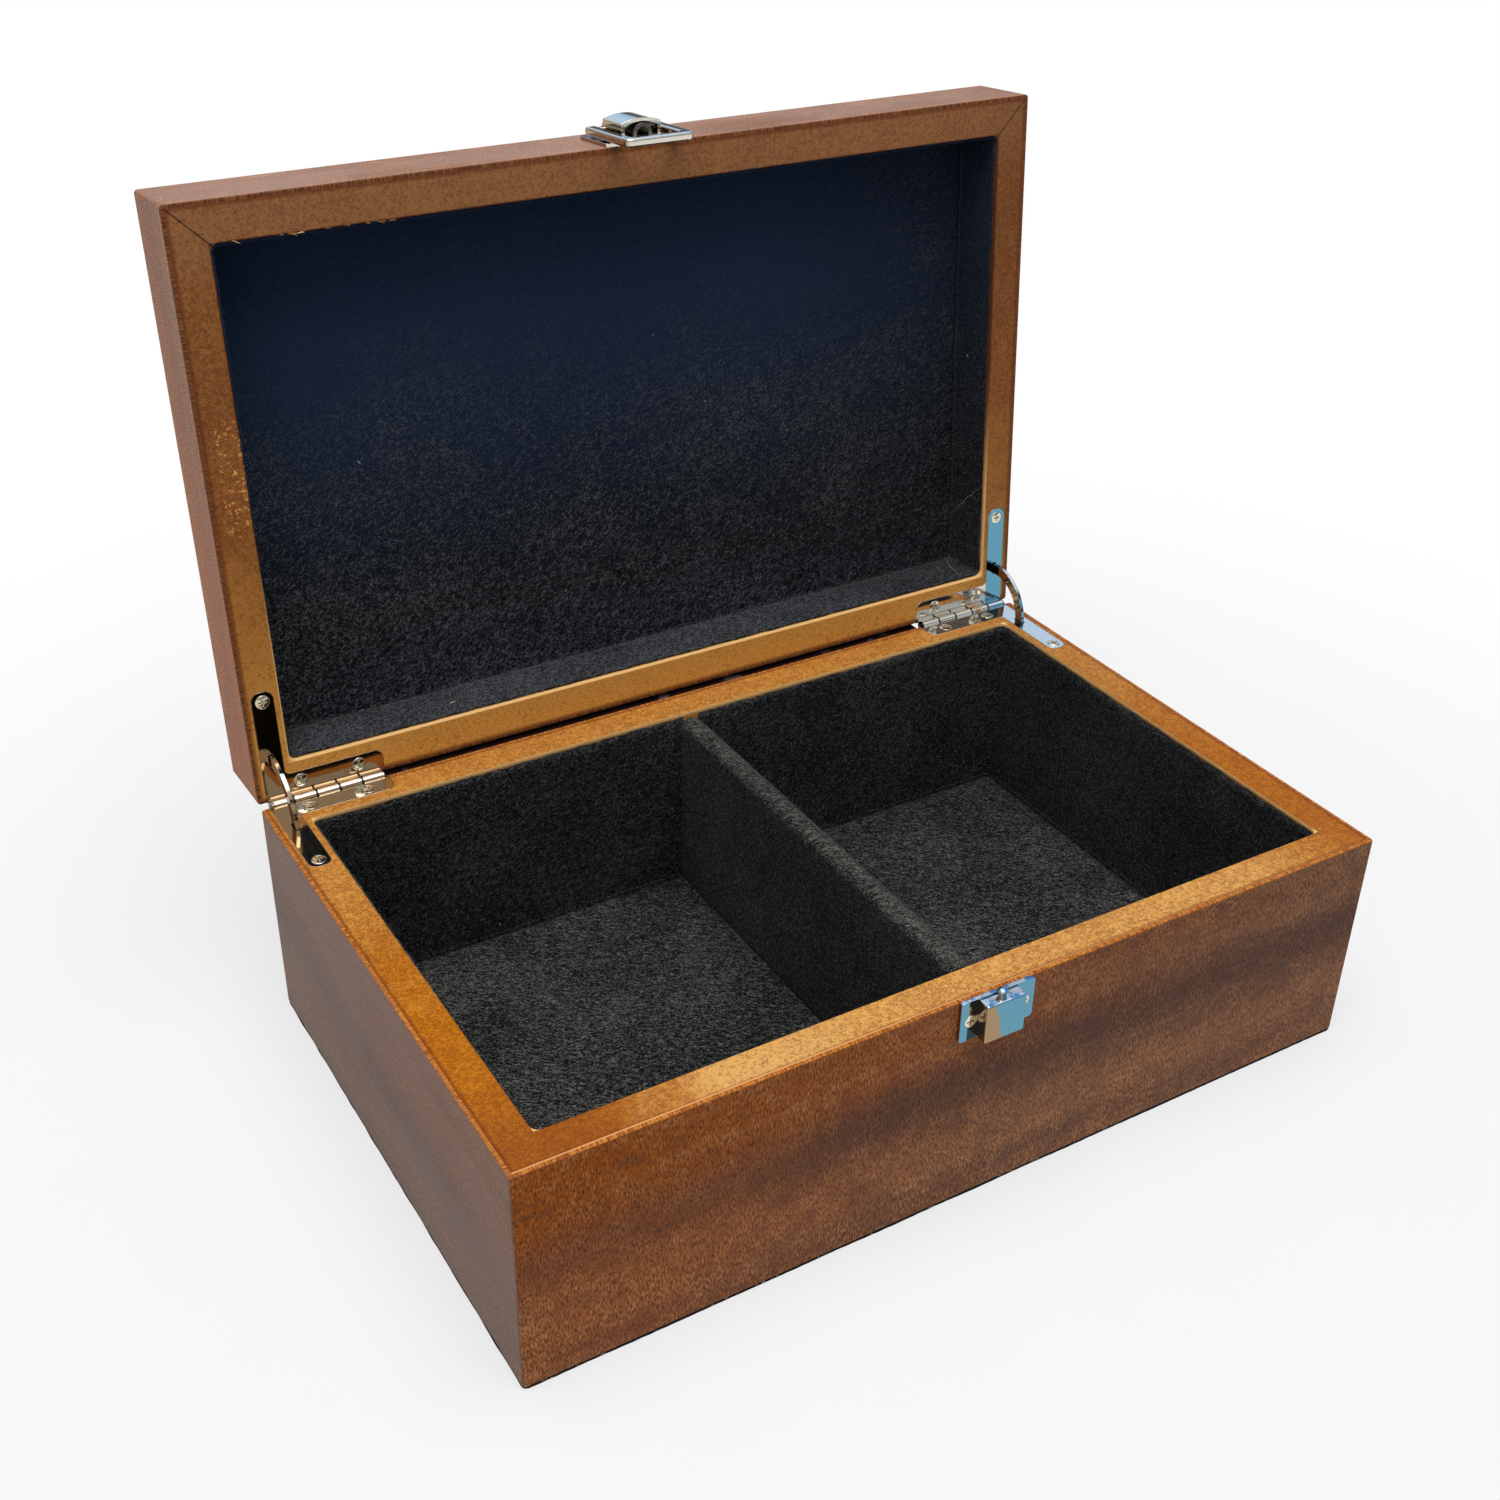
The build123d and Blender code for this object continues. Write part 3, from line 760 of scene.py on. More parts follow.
@dataclass(frozen=True)
class CoreFinish:
    """Stained fibre board: golden brown, a fine glittering grain, dark pits, painted sheen, highlights and
    shade.

    Attributes:
        ground: the board's usual colour.
        dark: its dark grain.
        light: its pale grain.
        pale: the ground where painted sheen and light pale it: the base's front and back, the lid by its
            hinges.
        fleck: the pale grain away from the painted sheen.
        shade: the ground in painted shade, at the base's front left corner and the right of both trays.
        painted_glare: painted light: the glare along the base's front, and a lighter greyer front rail in
            the lid.
        red: the reddened ground at the middle of the lid's sides.
        lip_highlight: the painted highlight on the lip along the opening.
        lip: the width of that lip.
        dull_lip: the lip away from the hinges, in the lid.
        beside_veneer: the dark line along the veneer.
        front_edge_highlight: the painted highlight on the base's front outer edge.
        mitre_line: the line of the lid's front mitres.
    """

    ground: Colour = srgb(176, 100, 10)
    dark: Colour = srgb(124, 62, 4)
    light: Colour = srgb(240, 182, 102)
    pale: Colour = srgb(206, 147, 76)
    fleck: Colour = srgb(226, 148, 34)
    shade: Colour = srgb(142, 70, 22)
    painted_glare: Colour = srgb(242, 192, 122)
    red: Colour = srgb(146, 68, 22)
    lip_highlight: Colour = srgb(255, 208, 140)
    lip: float = 1.0 * MM
    dull_lip: Colour = srgb(84, 42, 36)
    beside_veneer: Colour = srgb(112, 44, 12)
    front_edge_highlight: Colour = srgb(246, 176, 116)
    mitre_line: Colour = srgb(44, 22, 12)

    def make(self, name: str, rim: Rim) -> bpy.types.Material:
        """The finish of the boards of one tray.

        Args:
            name: the material's name.
            rim: the tray's rim.

        Returns:
            The material.
        """
        bench = Bench(name)
        point = rim.frame.point(bench)
        blotch = bench.noise(point, 60, 4, 0.6)
        weave = bench.noise(point, 700, 3, 0.7)
        grit = bench.noise(point, 1900, 2, 0.7)
        # painted light in the ground: painted sheen, glare and shade over the board's colour
        ground_and_light = self._lid_ground_and_light if rim.lid else self._base_ground_and_light
        colour, pale, shaded = ground_and_light(bench, point, (blotch - 0.5) * 0.06)
        tone = blotch * 0.12 + weave * 0.38 + grit * 0.5
        flecks = bench.mix(pale, self.fleck, self.light)
        bright_grain = tone.rise(0.505, 0.57) * (0.5 + pale * 0.3) * (1 - shaded * 0.6)
        colour = bench.mix(tone.rise(0.495, 0.43) * (0.42 + pale * 0.08), colour, self.dark)
        colour = bench.mix(bright_grain, colour, flecks)
        colour = self._edges(bench, colour, point, rim)
        normal = bench.bump((grit + weave) * 0.5, 0.25 * MM, 0.7)
        return bench.surface(colour, 0.4 + grit * 0.16, normal, Specular_IOR_Level=0.15)

    def _base_ground_and_light(self, bench: Bench, point: Sock, stray: Sock) -> tuple[Sock, Sock, Sock]:
        """The base's ground: painted sheen along the front and the back, painted shade at the front left
        and right.

        Args:
            bench: the material's bench.
            point: the place in the base's frame.
            stray: how far the zones' ends wander, in metres.

        Returns:
            The ground, how pale it is and how shaded it is.
        """
        x, y, _ = bench.axes(point)
        front_rail = y.rise(-0.06, -0.085)
        # painted sheen: paler in the middle of the front rail and over the back half
        pale = (x + stray).rise(-0.125, -0.07) * x.rise(0.15, 0.09) * front_rail
        pale = pale.most((y + stray).rise(-0.03, 0.05) * 0.55)
        # painted shade at the front left corner and along the right rail
        shaded = x.rise(-0.085, -0.125) * y.rise(-0.045, -0.085) + x.rise(0.11, 0.14) * 0.4
        colour = bench.mix(pale, self.ground, self.pale)
        colour = bench.mix(shaded * 0.75, colour, self.shade)
        # painted glare: a pale band of sheen along the front rail
        glare_band = (x + stray).band(-0.07, 0.045) * front_rail
        return bench.mix(glare_band * 0.4, colour, self.painted_glare), pale, shaded

    def _lid_ground_and_light(self, bench: Bench, point: Sock, stray: Sock) -> tuple[Sock, Sock, Sock]:
        """The lid's ground with painted light: pale by the hinges, greyer and lighter at the front, shaded
        at the right.

        Args:
            bench: the material's bench.
            point: the place in the lid's frame.
            stray: how far the zones' ends wander, in metres.

        Returns:
            The ground, how pale it is and how shaded it is.
        """
        x, y, _ = bench.axes(point)
        # painted light: paler by the hinges, painted shade at the right, a lighter greyer front rail
        pale = (y + stray).rise(-0.03, 0.085)
        shaded = x.rise(0.12, 0.14) * 0.5
        colour = bench.mix(pale, self.ground, self.pale)
        colour = bench.mix(shaded, colour, self.shade)
        colour = bench.mix(y.rise(-0.06, -0.085) * 0.5, colour, self.painted_glare)
        middle = y.rise(-0.05, 0.0) * y.rise(0.075, 0.04)
        return bench.mix(middle * 0.3, colour, self.red), pale, shaded

    def _edges(self, bench: Bench, colour: Sock, point: Sock, rim: Rim) -> Sock:
        """Adds the dark veneer line, painted highlights on the lip and the base's front edge, and the lid's
        wear.

        Args:
            bench: the material's bench.
            colour: the board's colour so far.
            point: the place in the tray's frame.
            rim: the tray's rim.

        Returns:
            The board's colour with its edges.
        """
        x, y, z = bench.axes(point)
        side, end = rim.outer.right - abs(x), rim.outer.back - abs(y)
        past_x, past_y = abs(x) - rim.hollow.right, abs(y) - rim.hollow.back
        inside = past_x.most(past_y)
        uneven = (bench.noise(point, 700) - 0.5) * 0.5 * MM
        line = (side.least(end) + uneven).rise(1.4 * MM, 0.3 * MM)
        colour = bench.mix(line * 0.65, colour, self.beside_veneer)
        level = abs(z - rim.height).rise(1.6 * MM, 0.8 * MM)
        # painted highlight on the lip: all round in the base, only by the hinges in the lid
        lip = (inside + uneven * 0.4).rise(self.lip, self.lip - 0.3 * MM) * level
        if not rim.lid:
            colour = bench.mix(lip * 0.9, colour, self.lip_highlight)
            # painted highlight along the base's front outer edge, stronger to the left
            lit_crest = (end + uneven * 0.5).rise(0.7 * MM, 0.3 * MM) * y.rise(0.0, -0.01)
            return bench.mix(lit_crest * (x.rise(0.08, -0.06) * 0.65 + 0.15), colour, self.front_edge_highlight)
        by_hinges = y.rise(0.0, 0.05)
        colour = bench.mix(lip * by_hinges * 0.9, colour, self.lip_highlight)
        colour = bench.mix(lip * (1 - by_hinges) * 0.7, colour, self.dull_lip)
        colour = self._lid_wear(bench, colour, point)
        mitre = (abs(past_x - past_y) + uneven * 0.5).rise(0.45 * MM, 0.1 * MM)
        front_corner = inside.rise(-0.2 * MM, 0.2 * MM) * y.rise(0.0, -0.01)
        return bench.mix(mitre * front_corner * 0.9, colour, self.mitre_line)

    @staticmethod
    def _lid_wear(bench: Bench, colour: Sock, point: Sock) -> Sock:
        """Adds small dents to the lid's rim, and a patch of orange scratches to its left rail.

        Args:
            bench: the material's bench.
            colour: the rim's colour so far.
            point: the place in the lid's frame.

        Returns:
            The worn colour.
        """
        x, y, _ = bench.axes(point)
        left_rail = x.rise(-0.131, -0.134) * x.rise(-0.1425, -0.139)
        patch = left_rail * y.rise(-0.034, -0.026) * y.rise(0.012, -0.004)
        scratch = bench.noise(point, (700, 900, 900), 3, 0.7).rise(0.56, 0.64)
        dents = bench.cells(point, 120).rise(0.05, 0.03)
        colour = bench.mix(scratch * patch * 0.9, colour, srgb(250, 180, 96))
        return bench.mix(dents * 0.6, colour, srgb(62, 34, 18))


# ---------------------------------------------------------------- cloth and metal


@dataclass(frozen=True)
class FeltFinish:
    """Matted wool felt: fibre streaks that lean one way, a fine speckle, slow clouds, pale lint and painted
    light.

    Attributes:
        dark: the deep pile.
        light: the raised fibres.
        sky_reflection: a painted blue reflection that the dark turns to toward the front edge of the lid.
        lint: the share of pale specks, 0 to 1.
        sheen: how much of a nap it shows at a grazing look.
        lit_crest: the height above which the felt's top is painted lighter, as lit from above, or 0.
        lean: the turn that brings the way of the streaks onto x.
        nap: the tint of that sheen.
        speck: the specks' colour.
        gap: the line where the walls meet the floor.
    """

    dark: Colour = srgb(5, 6, 9)
    light: Colour = srgb(116, 116, 114)
    sky_reflection: Colour | None = None
    lint: float = 0.6
    sheen: float = 0.2
    lit_crest: float = 0.0
    lean: tuple[float, float, float] = (0.0, 0.35, 0.52)
    nap: Colour = srgb(90, 90, 92)
    speck: Colour = srgb(170, 168, 160)
    gap: Colour = srgb(4, 4, 5)

    def make(self, name: str, frame: Turned, fold: Extent | None = None) -> bpy.types.Material:
        """The finish of one felt.

        Args:
            name: the material's name.
            frame: the frame that the felt is measured in.
            fold: the corners of a tray's inside, whose foot has a dark line under a paler fringe.

        Returns:
            The material.
        """
        bench = Bench(name)
        point = frame.point(bench)
        bent = point + (bench.noise(point, 120, 2) - 0.5) * 2 * MM
        leant = bench.turned(bent, self.lean)
        hair = bench.noise(leant, (600, 2500, 2500), 3, 0.65)
        tuft = bench.noise(leant, (220, 850, 850), 3, 0.6)
        speck = bench.noise(point, 2200, 2, 0.7)
        cloud = bench.noise(point, (26, 30, 26), 3, 0.6)
        pile = hair * 0.47 + speck * 0.33 + tuft * 0.2
        tone = pile * 0.92 + cloud * 0.08
        # painted light and shade: a blue reflection in the lid, walls lighter or darker by how light falls
        dark, light = self._depths(bench, point, cloud)
        colour = bench.mix(self._raised(bench, point, tone, fold), dark, light)
        if fold is not None:
            colour = self._foot_line(bench, colour, point, fold, hair)
        dust = bench.cells(bent, 70).rise(0.024, 0.014)
        colour = bench.mix(dust * self.lint, colour, self.speck)
        normal = bench.bump(pile, 0.6 * MM, 0.9)
        sheen = {"Sheen_Weight": self.sheen, "Sheen_Roughness": 0.5, "Sheen_Tint": (*self.nap, 1.0)}
        return bench.surface(colour, 0.95, normal, Specular_IOR_Level=0.12, **sheen)

    def _depths(self, bench: Bench, point: Sock, cloud: Sock) -> tuple[object, object]:
        """The deep and the raised colour, with a painted blue reflection toward the front of the lid.

        Args:
            bench: the material's bench.
            point: the place in the felt's frame.
            cloud: slow noise that makes the turn uneven.

        Returns:
            Both colours.
        """
        if self.sky_reflection is None:
            return self.dark, self.light
        x, y, _ = bench.axes(point)
        # painted reflection: blue toward the lid's front edge, weaker and with painted shade to the right
        front = (y + (cloud - 0.5) * 0.05).rise(0.05, -0.05) * (1 - x.rise(0.05, 0.13) * 0.45)
        light = bench.mix(front * 0.85, self.light, self.sky_reflection)
        light = bench.mix(x.rise(0.04, 0.11) * front.most(0.4) * 0.6, light, self.dark)
        return bench.mix(front, self.dark, self.sky_reflection), light

    def _raised(self, bench: Bench, point: Sock, tone: Sock, fold: Extent | None) -> Sock:
        """How much of the raised colour shows.

        Painted shade: less of it shows on the walls at the back and the right of the base. Painted light:
        more of it shows on the divider's top and on the lid's wall by the hinges, which face up.

        Args:
            bench: the material's bench.
            point: the place in the felt's frame.
            tone: the pile's noise.
            fold: the corners of a tray's inside, or None.

        Returns:
            The share, 0 to 1.
        """
        x, y, z = bench.axes(point)
        share = tone.rise(0.475, 0.61)
        # painted light: the felt's top is lighter above that height, as lit from above
        if self.lit_crest:
            crest = z.rise(self.lit_crest - 2.5 * MM, self.lit_crest)
            return share * 0.7 + crest * tone.rise(0.4, 0.6) * 0.32
        if fold is None:
            return share
        if self.sky_reflection is None:
            # painted shade on the base's back and right walls
            back = y.rise(fold.back - 1.5 * MM, fold.back - 0.5 * MM) * 0.25
            right = x.rise(fold.right - 1.5 * MM, fold.right - 0.5 * MM) * 0.45
            return share * (1 - back.most(right))
        # painted light on the lid's wall by the hinges, which faces up in the open lid
        by_hinge = y.rise(fold.back - 1.2 * MM, fold.back - 0.4 * MM)
        return share + by_hinge * tone.rise(0.4, 0.6) * 0.3

    def _foot_line(self, bench: Bench, colour: Sock, point: Sock, fold: Extent, hair: Sock) -> Sock:
        """Draws a dark line where the walls meet the floor, and paler fibres just above it.

        Args:
            bench: the material's bench.
            colour: the felt's colour so far.
            point: the place in the tray's frame.
            fold: the corners of the tray's inside; its foot is the floor's height.
            hair: the fibres' noise.

        Returns:
            The felt's colour with that line.
        """
        x, y, z = bench.axes(point)
        gap = (fold.right - abs(x)).least(fold.back - abs(y))
        height = abs(z - fold.foot)
        line = gap.rise(0.9 * MM, 0.4 * MM) * (height + (hair - 0.5) * MM).rise(0.8 * MM, 0.3 * MM)
        fringe = gap.rise(0.9 * MM, 0.5 * MM) * height.band(1.3 * MM, 0.7 * MM) * hair.rise(0.45, 0.6)
        colour = bench.mix(fringe * 0.8, colour, self.light)
        return bench.mix(line * 0.4, colour, self.gap)


@dataclass(frozen=True)
class StrandFinish:
    """Loose fibres, lint, splinters or thread: one colour, paler in places.

    Attributes:
        ground: the usual colour.
        pale: the paler one.
    """

    ground: Colour
    pale: Colour

    def make(self, name: str) -> bpy.types.Material:
        """The finish of one kind of strands."""
        bench = Bench(name)
        spots = bench.noise(bench.place(), 500, 2)
        colour = bench.mix(spots.rise(0.4, 0.62), self.ground, self.pale)
        return bench.surface(colour, 0.8 + spots * 0.2, None, Specular_IOR_Level=0.2)


@dataclass(frozen=True)
class Barrel:
    """The barrels of the two hinges, mirrored about the middle, with their evenly spaced knuckles.

    Attributes:
        start: the first knuckle's distance from the middle.
        stop: the last knuckle's end.
        axis: the barrels' y and z.
        knuckles: how many knuckles there are.
        reach: the distance from the axis within which a face is the barrel's.
    """

    start: float
    stop: float
    axis: tuple[float, float]
    knuckles: int = 5
    reach: float = 2.3 * MM

    def rings(self, bench: Bench, point: Sock) -> Sock:
        """A mask of the knuckles' joints: 1 where |x| is a whole number of knuckles from the start."""
        x, y, z = bench.axes(point)
        pitch = (self.stop - self.start) / self.knuckles
        count = (abs(x) - self.start) / pitch + 0.5
        share = bench.node("ShaderNodeMath", {"operation": "FRACT"}, {0: count})
        joint = (abs(share - 0.5) * pitch).rise(0.5 * MM, 0.3 * MM)
        off_y, off_z = y - self.axis[0], z - self.axis[1]
        near = (off_y * off_y + off_z * off_z).rise(self.reach**2, 0.8 * self.reach**2)
        return joint * near * abs(x).rise(self.start - MM, self.start) * 0.9


@dataclass(frozen=True)
class NickelFinish:
    """Bright nickel plate with painted reflections of the room as tints, with faint wipes, scratches and
    pits.

    Attributes:
        tint: the metal's colour.
        front: its painted reflection on faces that look to the front.
        over: its painted reflection on faces that look up.
        side: its painted reflection on faces that look left, and on the left half of faces to the front.
        sky: a bluer painted reflection in patches on the keeper's top.
        haze: its least roughness.
        edge: the radius to which its edges look rounded.
        pitted: its small pits.
        joint: the gaps between knuckles.
    """

    tint: Colour = srgb(214, 208, 198)
    front: Colour = srgb(98, 154, 176)
    over: Colour = srgb(206, 220, 236)
    side: Colour = srgb(164, 136, 104)
    sky: Colour = srgb(84, 150, 216)
    haze: float = 0.05
    edge: float = 0.3 * MM
    pitted: Colour = srgb(120, 112, 100)
    joint: Colour = srgb(30, 24, 20)

    def make(
        self,
        name: str,
        frame: Turned,
        tan_before: float = -0.02,
        barrel: Barrel | None = None,
        shade: tuple[float, float] | None = None,
    ) -> bpy.types.Material:
        """The finish of one group of metal pieces.

        Args:
            name: the material's name.
            frame: the frame that they are measured in.
            tan_before: the place along x before which faces to the front take the tan painted reflection.
            barrel: a hinge's barrel, whose joints are dark rings.
            shade: the stretch of x on which faces to the front get a painted dark reflection.

        Returns:
            The material.
        """
        bench = Bench(name)
        point = frame.point(bench)
        smear = bench.noise(point, (260, 220, 240), 3, 0.6)
        score = bench.noise(point, (420, 9000, 3000), 2, 0.5).rise(0.64, 0.72)
        pits = bench.cells(point, 900).rise(0.1, 0.05)
        colour = self._tints(bench, point, smear, tan_before, shade)
        colour = bench.mix(pits * 0.5, colour, self.pitted)
        if barrel is not None:
            colour = bench.mix(barrel.rings(bench, point), colour, self.joint)
        roughness = self.haze + smear * 0.05 + score * 0.1 + pits * 0.2
        rounded = bench.node("ShaderNodeBevel", {"samples": 4}, {"Radius": self.edge}, "Normal")
        normal = bench.bump(smear, 0.3 * MM, 0.08, rounded)
        normal = bench.bump(1 - pits * 0.8 - score * 0.3, 0.02 * MM, 0.3, normal)
        return bench.surface(colour, roughness, normal, Metallic=1.0)

    def _tints(
        self, bench: Bench, point: Sock, smear: Sock, tan_before: float, shade: tuple[float, float] | None
    ) -> Sock:
        """The metal's tint, a painted reflection, by the way that a face looks, and by its place.

        Args:
            bench: the material's bench.
            point: the place in the metal's frame.
            smear: slow noise that makes the tints uneven.
            tan_before: the place along x before which faces to the front take the tan painted reflection.
            shade: the stretch of x on which faces to the front get a painted dark reflection.

        Returns:
            The tint.
        """
        x, y, z = bench.axes(point)
        across, ahead, up = bench.axes(bench.node("ShaderNodeTexCoord", None, None, "Normal"))
        # painted reflections: blue on the right hinge and the keeper to the front, tan to the left, pale
        # above
        on_keeper = y.rise(-0.088, -0.09) * z.rise(0.1, 0.09)
        cool = x.rise(0.1345, 0.1355).most(on_keeper)
        slanted = x + (z - 0.07) * 0.25 + (smear - 0.5) * 1.6 * MM
        left = slanted.rise(tan_before + 0.8 * MM, tan_before - 0.8 * MM)
        front = bench.mix(left, bench.mix(cool, self.tint, self.front), self.side)
        over = bench.mix(smear.rise(0.46, 0.56) * on_keeper, self.over, self.sky)
        colour = bench.mix(ahead.rise(-0.45, -0.9), self.tint, front)
        colour = bench.mix(up.rise(0.5, 0.92) * cool.most(z.rise(0.2, 0.22)), colour, over)
        colour = bench.mix(across.rise(-0.4, -0.9), colour, self.side)
        if shade is None:
            return colour
        start, stop = shade
        # painted dark reflection with pale flecks, on faces to the front in that stretch
        mirrored = x.rise(start, start + 0.4 * MM) * x.rise(stop + 0.2 * MM, stop)
        dusky = bench.mix(smear.rise(0.56, 0.6), srgb(38, 32, 28), srgb(206, 196, 170))
        return bench.mix(mirrored * ahead.rise(-0.6, -0.9) * 0.92, colour, dusky)


# ---------------------------------------------------------------- felt and cloth forms


@dataclass(frozen=True)
class TrayFelt:
    """A felt lining: a floor and its walls in one sheet, with an uneven top edge.

    On the square -1 <= u, v <= 1 the ring m = max(|u|, |v|) up to `fold` is the floor, from its middle to
    the walls, and the rings beyond it climb the walls by ((m - fold) / (1 - fold))^1.6 of their height.
    Every ring is a rounded rectangle.

    Attributes:
        frame: the frame that it is measured in.
        low: the lowest x and y of the space inside the walls' felt, and the floor's height.
        high: the highest x and y, and the height of the walls' edge.
        hem_side: -1 or 1 where the wall at low or high x is only a short hem, 0 where all are whole.
        corner: the radius of its upright corners.
        thickness: the felt's own.
        steps: grid points across the square.
        fold: the ring at which the walls start.
        hem: the height of a short hem.
        calm: how far from the fold the felt's unevenness starts.
    """

    frame: Turned
    low: np.ndarray
    high: np.ndarray
    hem_side: int = 0
    corner: float = 1.3 * MM
    thickness: float = 0.8 * MM
    steps: int = 181
    fold: float = 0.55
    hem: float = 1.5 * MM
    calm: float = 2.5 * MM

    @property
    def half(self) -> np.ndarray:
        """Half the floor's size along x and y."""
        return (self.high[:2] - self.low[:2]) / 2

    @property
    def rise(self) -> float:
        """How far the walls stand off the floor; it is negative in the lid."""
        return float(self.high[2] - self.low[2])

    def outline(self, flat: np.ndarray) -> np.ndarray:
        """A point of the unit square's edge moved onto the unit rounded rectangle.

        q = c + d / max(|d / r|, 1), with c the point held inside 1 - r, d = q0 - c, and r the corner's
        radius over half the size.
        """
        radius = self.corner / self.half
        inner = np.clip(flat, radius - 1, 1 - radius)
        out = flat - inner
        length = np.linalg.norm(out / radius, axis=-1, keepdims=True)
        return inner + out / np.maximum(length, 1.0)

    def rings(self) -> tuple[np.ndarray, np.ndarray]:
        """The grid as square rings about the middle: how far out each point is, and its outline point."""
        line = np.linspace(-1, 1, self.steps)
        u, v = np.meshgrid(line, line, indexing="ij")
        ring = np.maximum(np.abs(u), np.abs(v))
        return ring, self.outline(np.stack([u, v], -1) / np.maximum(ring, 1e-9)[..., None])

    def points(self, seed: int) -> np.ndarray:
        """The sheet's shown side on its grid, in its own frame."""
        ring, rounded = self.rings()
        share = np.clip(ring / self.fold, 0, 1)
        climb = np.clip((ring - self.fold) / (1 - self.fold), 0, 1) ** 1.6
        reach = self.corner / self.half[0]
        hemmed = np.clip((self.hem_side * rounded[..., 0] - 1 + reach) / reach, 0, 1) * abs(self.hem_side)
        rise = self.rise * (1 - hemmed) + self.hem * math.copysign(1, self.rise) * hemmed
        plan = (self.high[:2] + self.low[:2]) / 2 + rounded * share[..., None] * self.half
        places = np.concatenate([plan, (self.low[2] + climb * rise)[..., None]], -1)
        ragged = 0.22 * wave(places, 9 * MM, seed) + 0.16 * wave(places, 2.3 * MM, seed + 1)
        places[..., 2] += (climb > 0.999) * math.copysign(MM, self.rise) * ragged
        off_fold = np.where(climb > 0, np.abs(climb * rise), (1 - share) * self.half.min())
        ease = np.clip(off_fold / self.calm, 0, 1)
        bulge = 0.09 + 0.08 * wave(places, 14 * MM, seed + 2) + 0.04 * wave(places, 4 * MM, seed + 3)
        up = np.array([0, 0, math.copysign(1, self.rise)])
        inward = np.concatenate([-rounded, 0 * rounded[..., :1]], -1)
        way = np.where((climb == 0)[..., None], up, inward)
        return places + way * (bulge * ease * ease * (3 - 2 * ease) * MM)[..., None]

    def make(
        self, name: str, body: str, finish: bpy.types.Material, seed: int, board: str
    ) -> bpy.types.Object:
        """Builds the lining.

        Args:
            name: the piece's name.
            body: the body that carries it.
            finish: its felt.
            seed: picks its unevenness.
            board: the node that it is glued to; not used.

        Returns:
            The lining.
        """
        places, faces = self.points(seed), grid_faces(self.steps, self.steps)
        corners = places.reshape(-1, 3)[faces[(len(faces) + self.steps - 1) // 2]]
        looks_up = np.cross(corners[1] - corners[0], corners[2] - corners[0])[2] > 0
        if looks_up != (self.rise > 0):
            faces = faces[:, ::-1]
        piece = make_piece(name, self.frame.to_packed(places), faces, body, finish)
        thicken(piece, self.thickness - 0.15 * MM, -1.0)
        wall = abs(self.rise)
        wide, long = 2 * self.half + 2 * wall
        area = wide * long - 4 * wall * wall - abs(self.hem_side) * 2 * self.half[1] * wall
        return piece

    def edge(self, count: int, seed: int, height: float) -> tuple[np.ndarray, np.ndarray]:
        """Random places round the walls at one height, and the way into the tray there.

        Args:
            count: how many places.
            seed: picks them.
            height: the height, in the tray's own frame.

        Returns:
            The places and the inward ways, in the tray's own frame.
        """
        dice = np.random.default_rng(seed)
        turn = dice.uniform(-1, 1, count)
        sides = dice.choice(4, count, p=self._side_shares())
        flat = np.array([[1, 0], [-1, 0], [0, 1], [0, -1]])[sides]
        rounded = self.outline(flat + np.abs(flat[:, ::-1]) * turn[:, None])
        keep = self.hem_side * rounded[:, 0] < 0.98
        plan = (self.high[:2] + self.low[:2]) / 2 + rounded * self.half
        places = np.concatenate([plan, np.full((count, 1), height)], -1)
        return places[keep], np.concatenate([-flat, np.zeros((count, 1))], -1)[keep]

    def _side_shares(self) -> np.ndarray:
        """How likely each side is, by its length."""
        wide, long = self.half
        return np.array([long, long, wide, wide]) / (2 * (wide + long))

    def spots(self, count: int, seed: int, shape_seed: int) -> tuple[np.ndarray, np.ndarray]:
        """Random places on the felt, and the way off it there, n = dp/du x dp/dv turned to the inside.

        Args:
            count: how many places.
            seed: picks them.
            shape_seed: the seed that the felt was made with.

        Returns:
            The places and the ways, in the tray's own frame.
        """
        dice = np.random.default_rng(seed)
        places = self.points(shape_seed)
        rows, columns = dice.integers(4, self.steps - 4, (2, count))
        away = np.cross(np.gradient(places, axis=0), np.gradient(places, axis=1))[rows, columns]
        away *= math.copysign(1, away[0, 2] * self.rise) if abs(away[0, 2]) > 1e-12 else 1
        return places[rows, columns], away / np.maximum(np.linalg.norm(away, axis=1, keepdims=True), 1e-12)


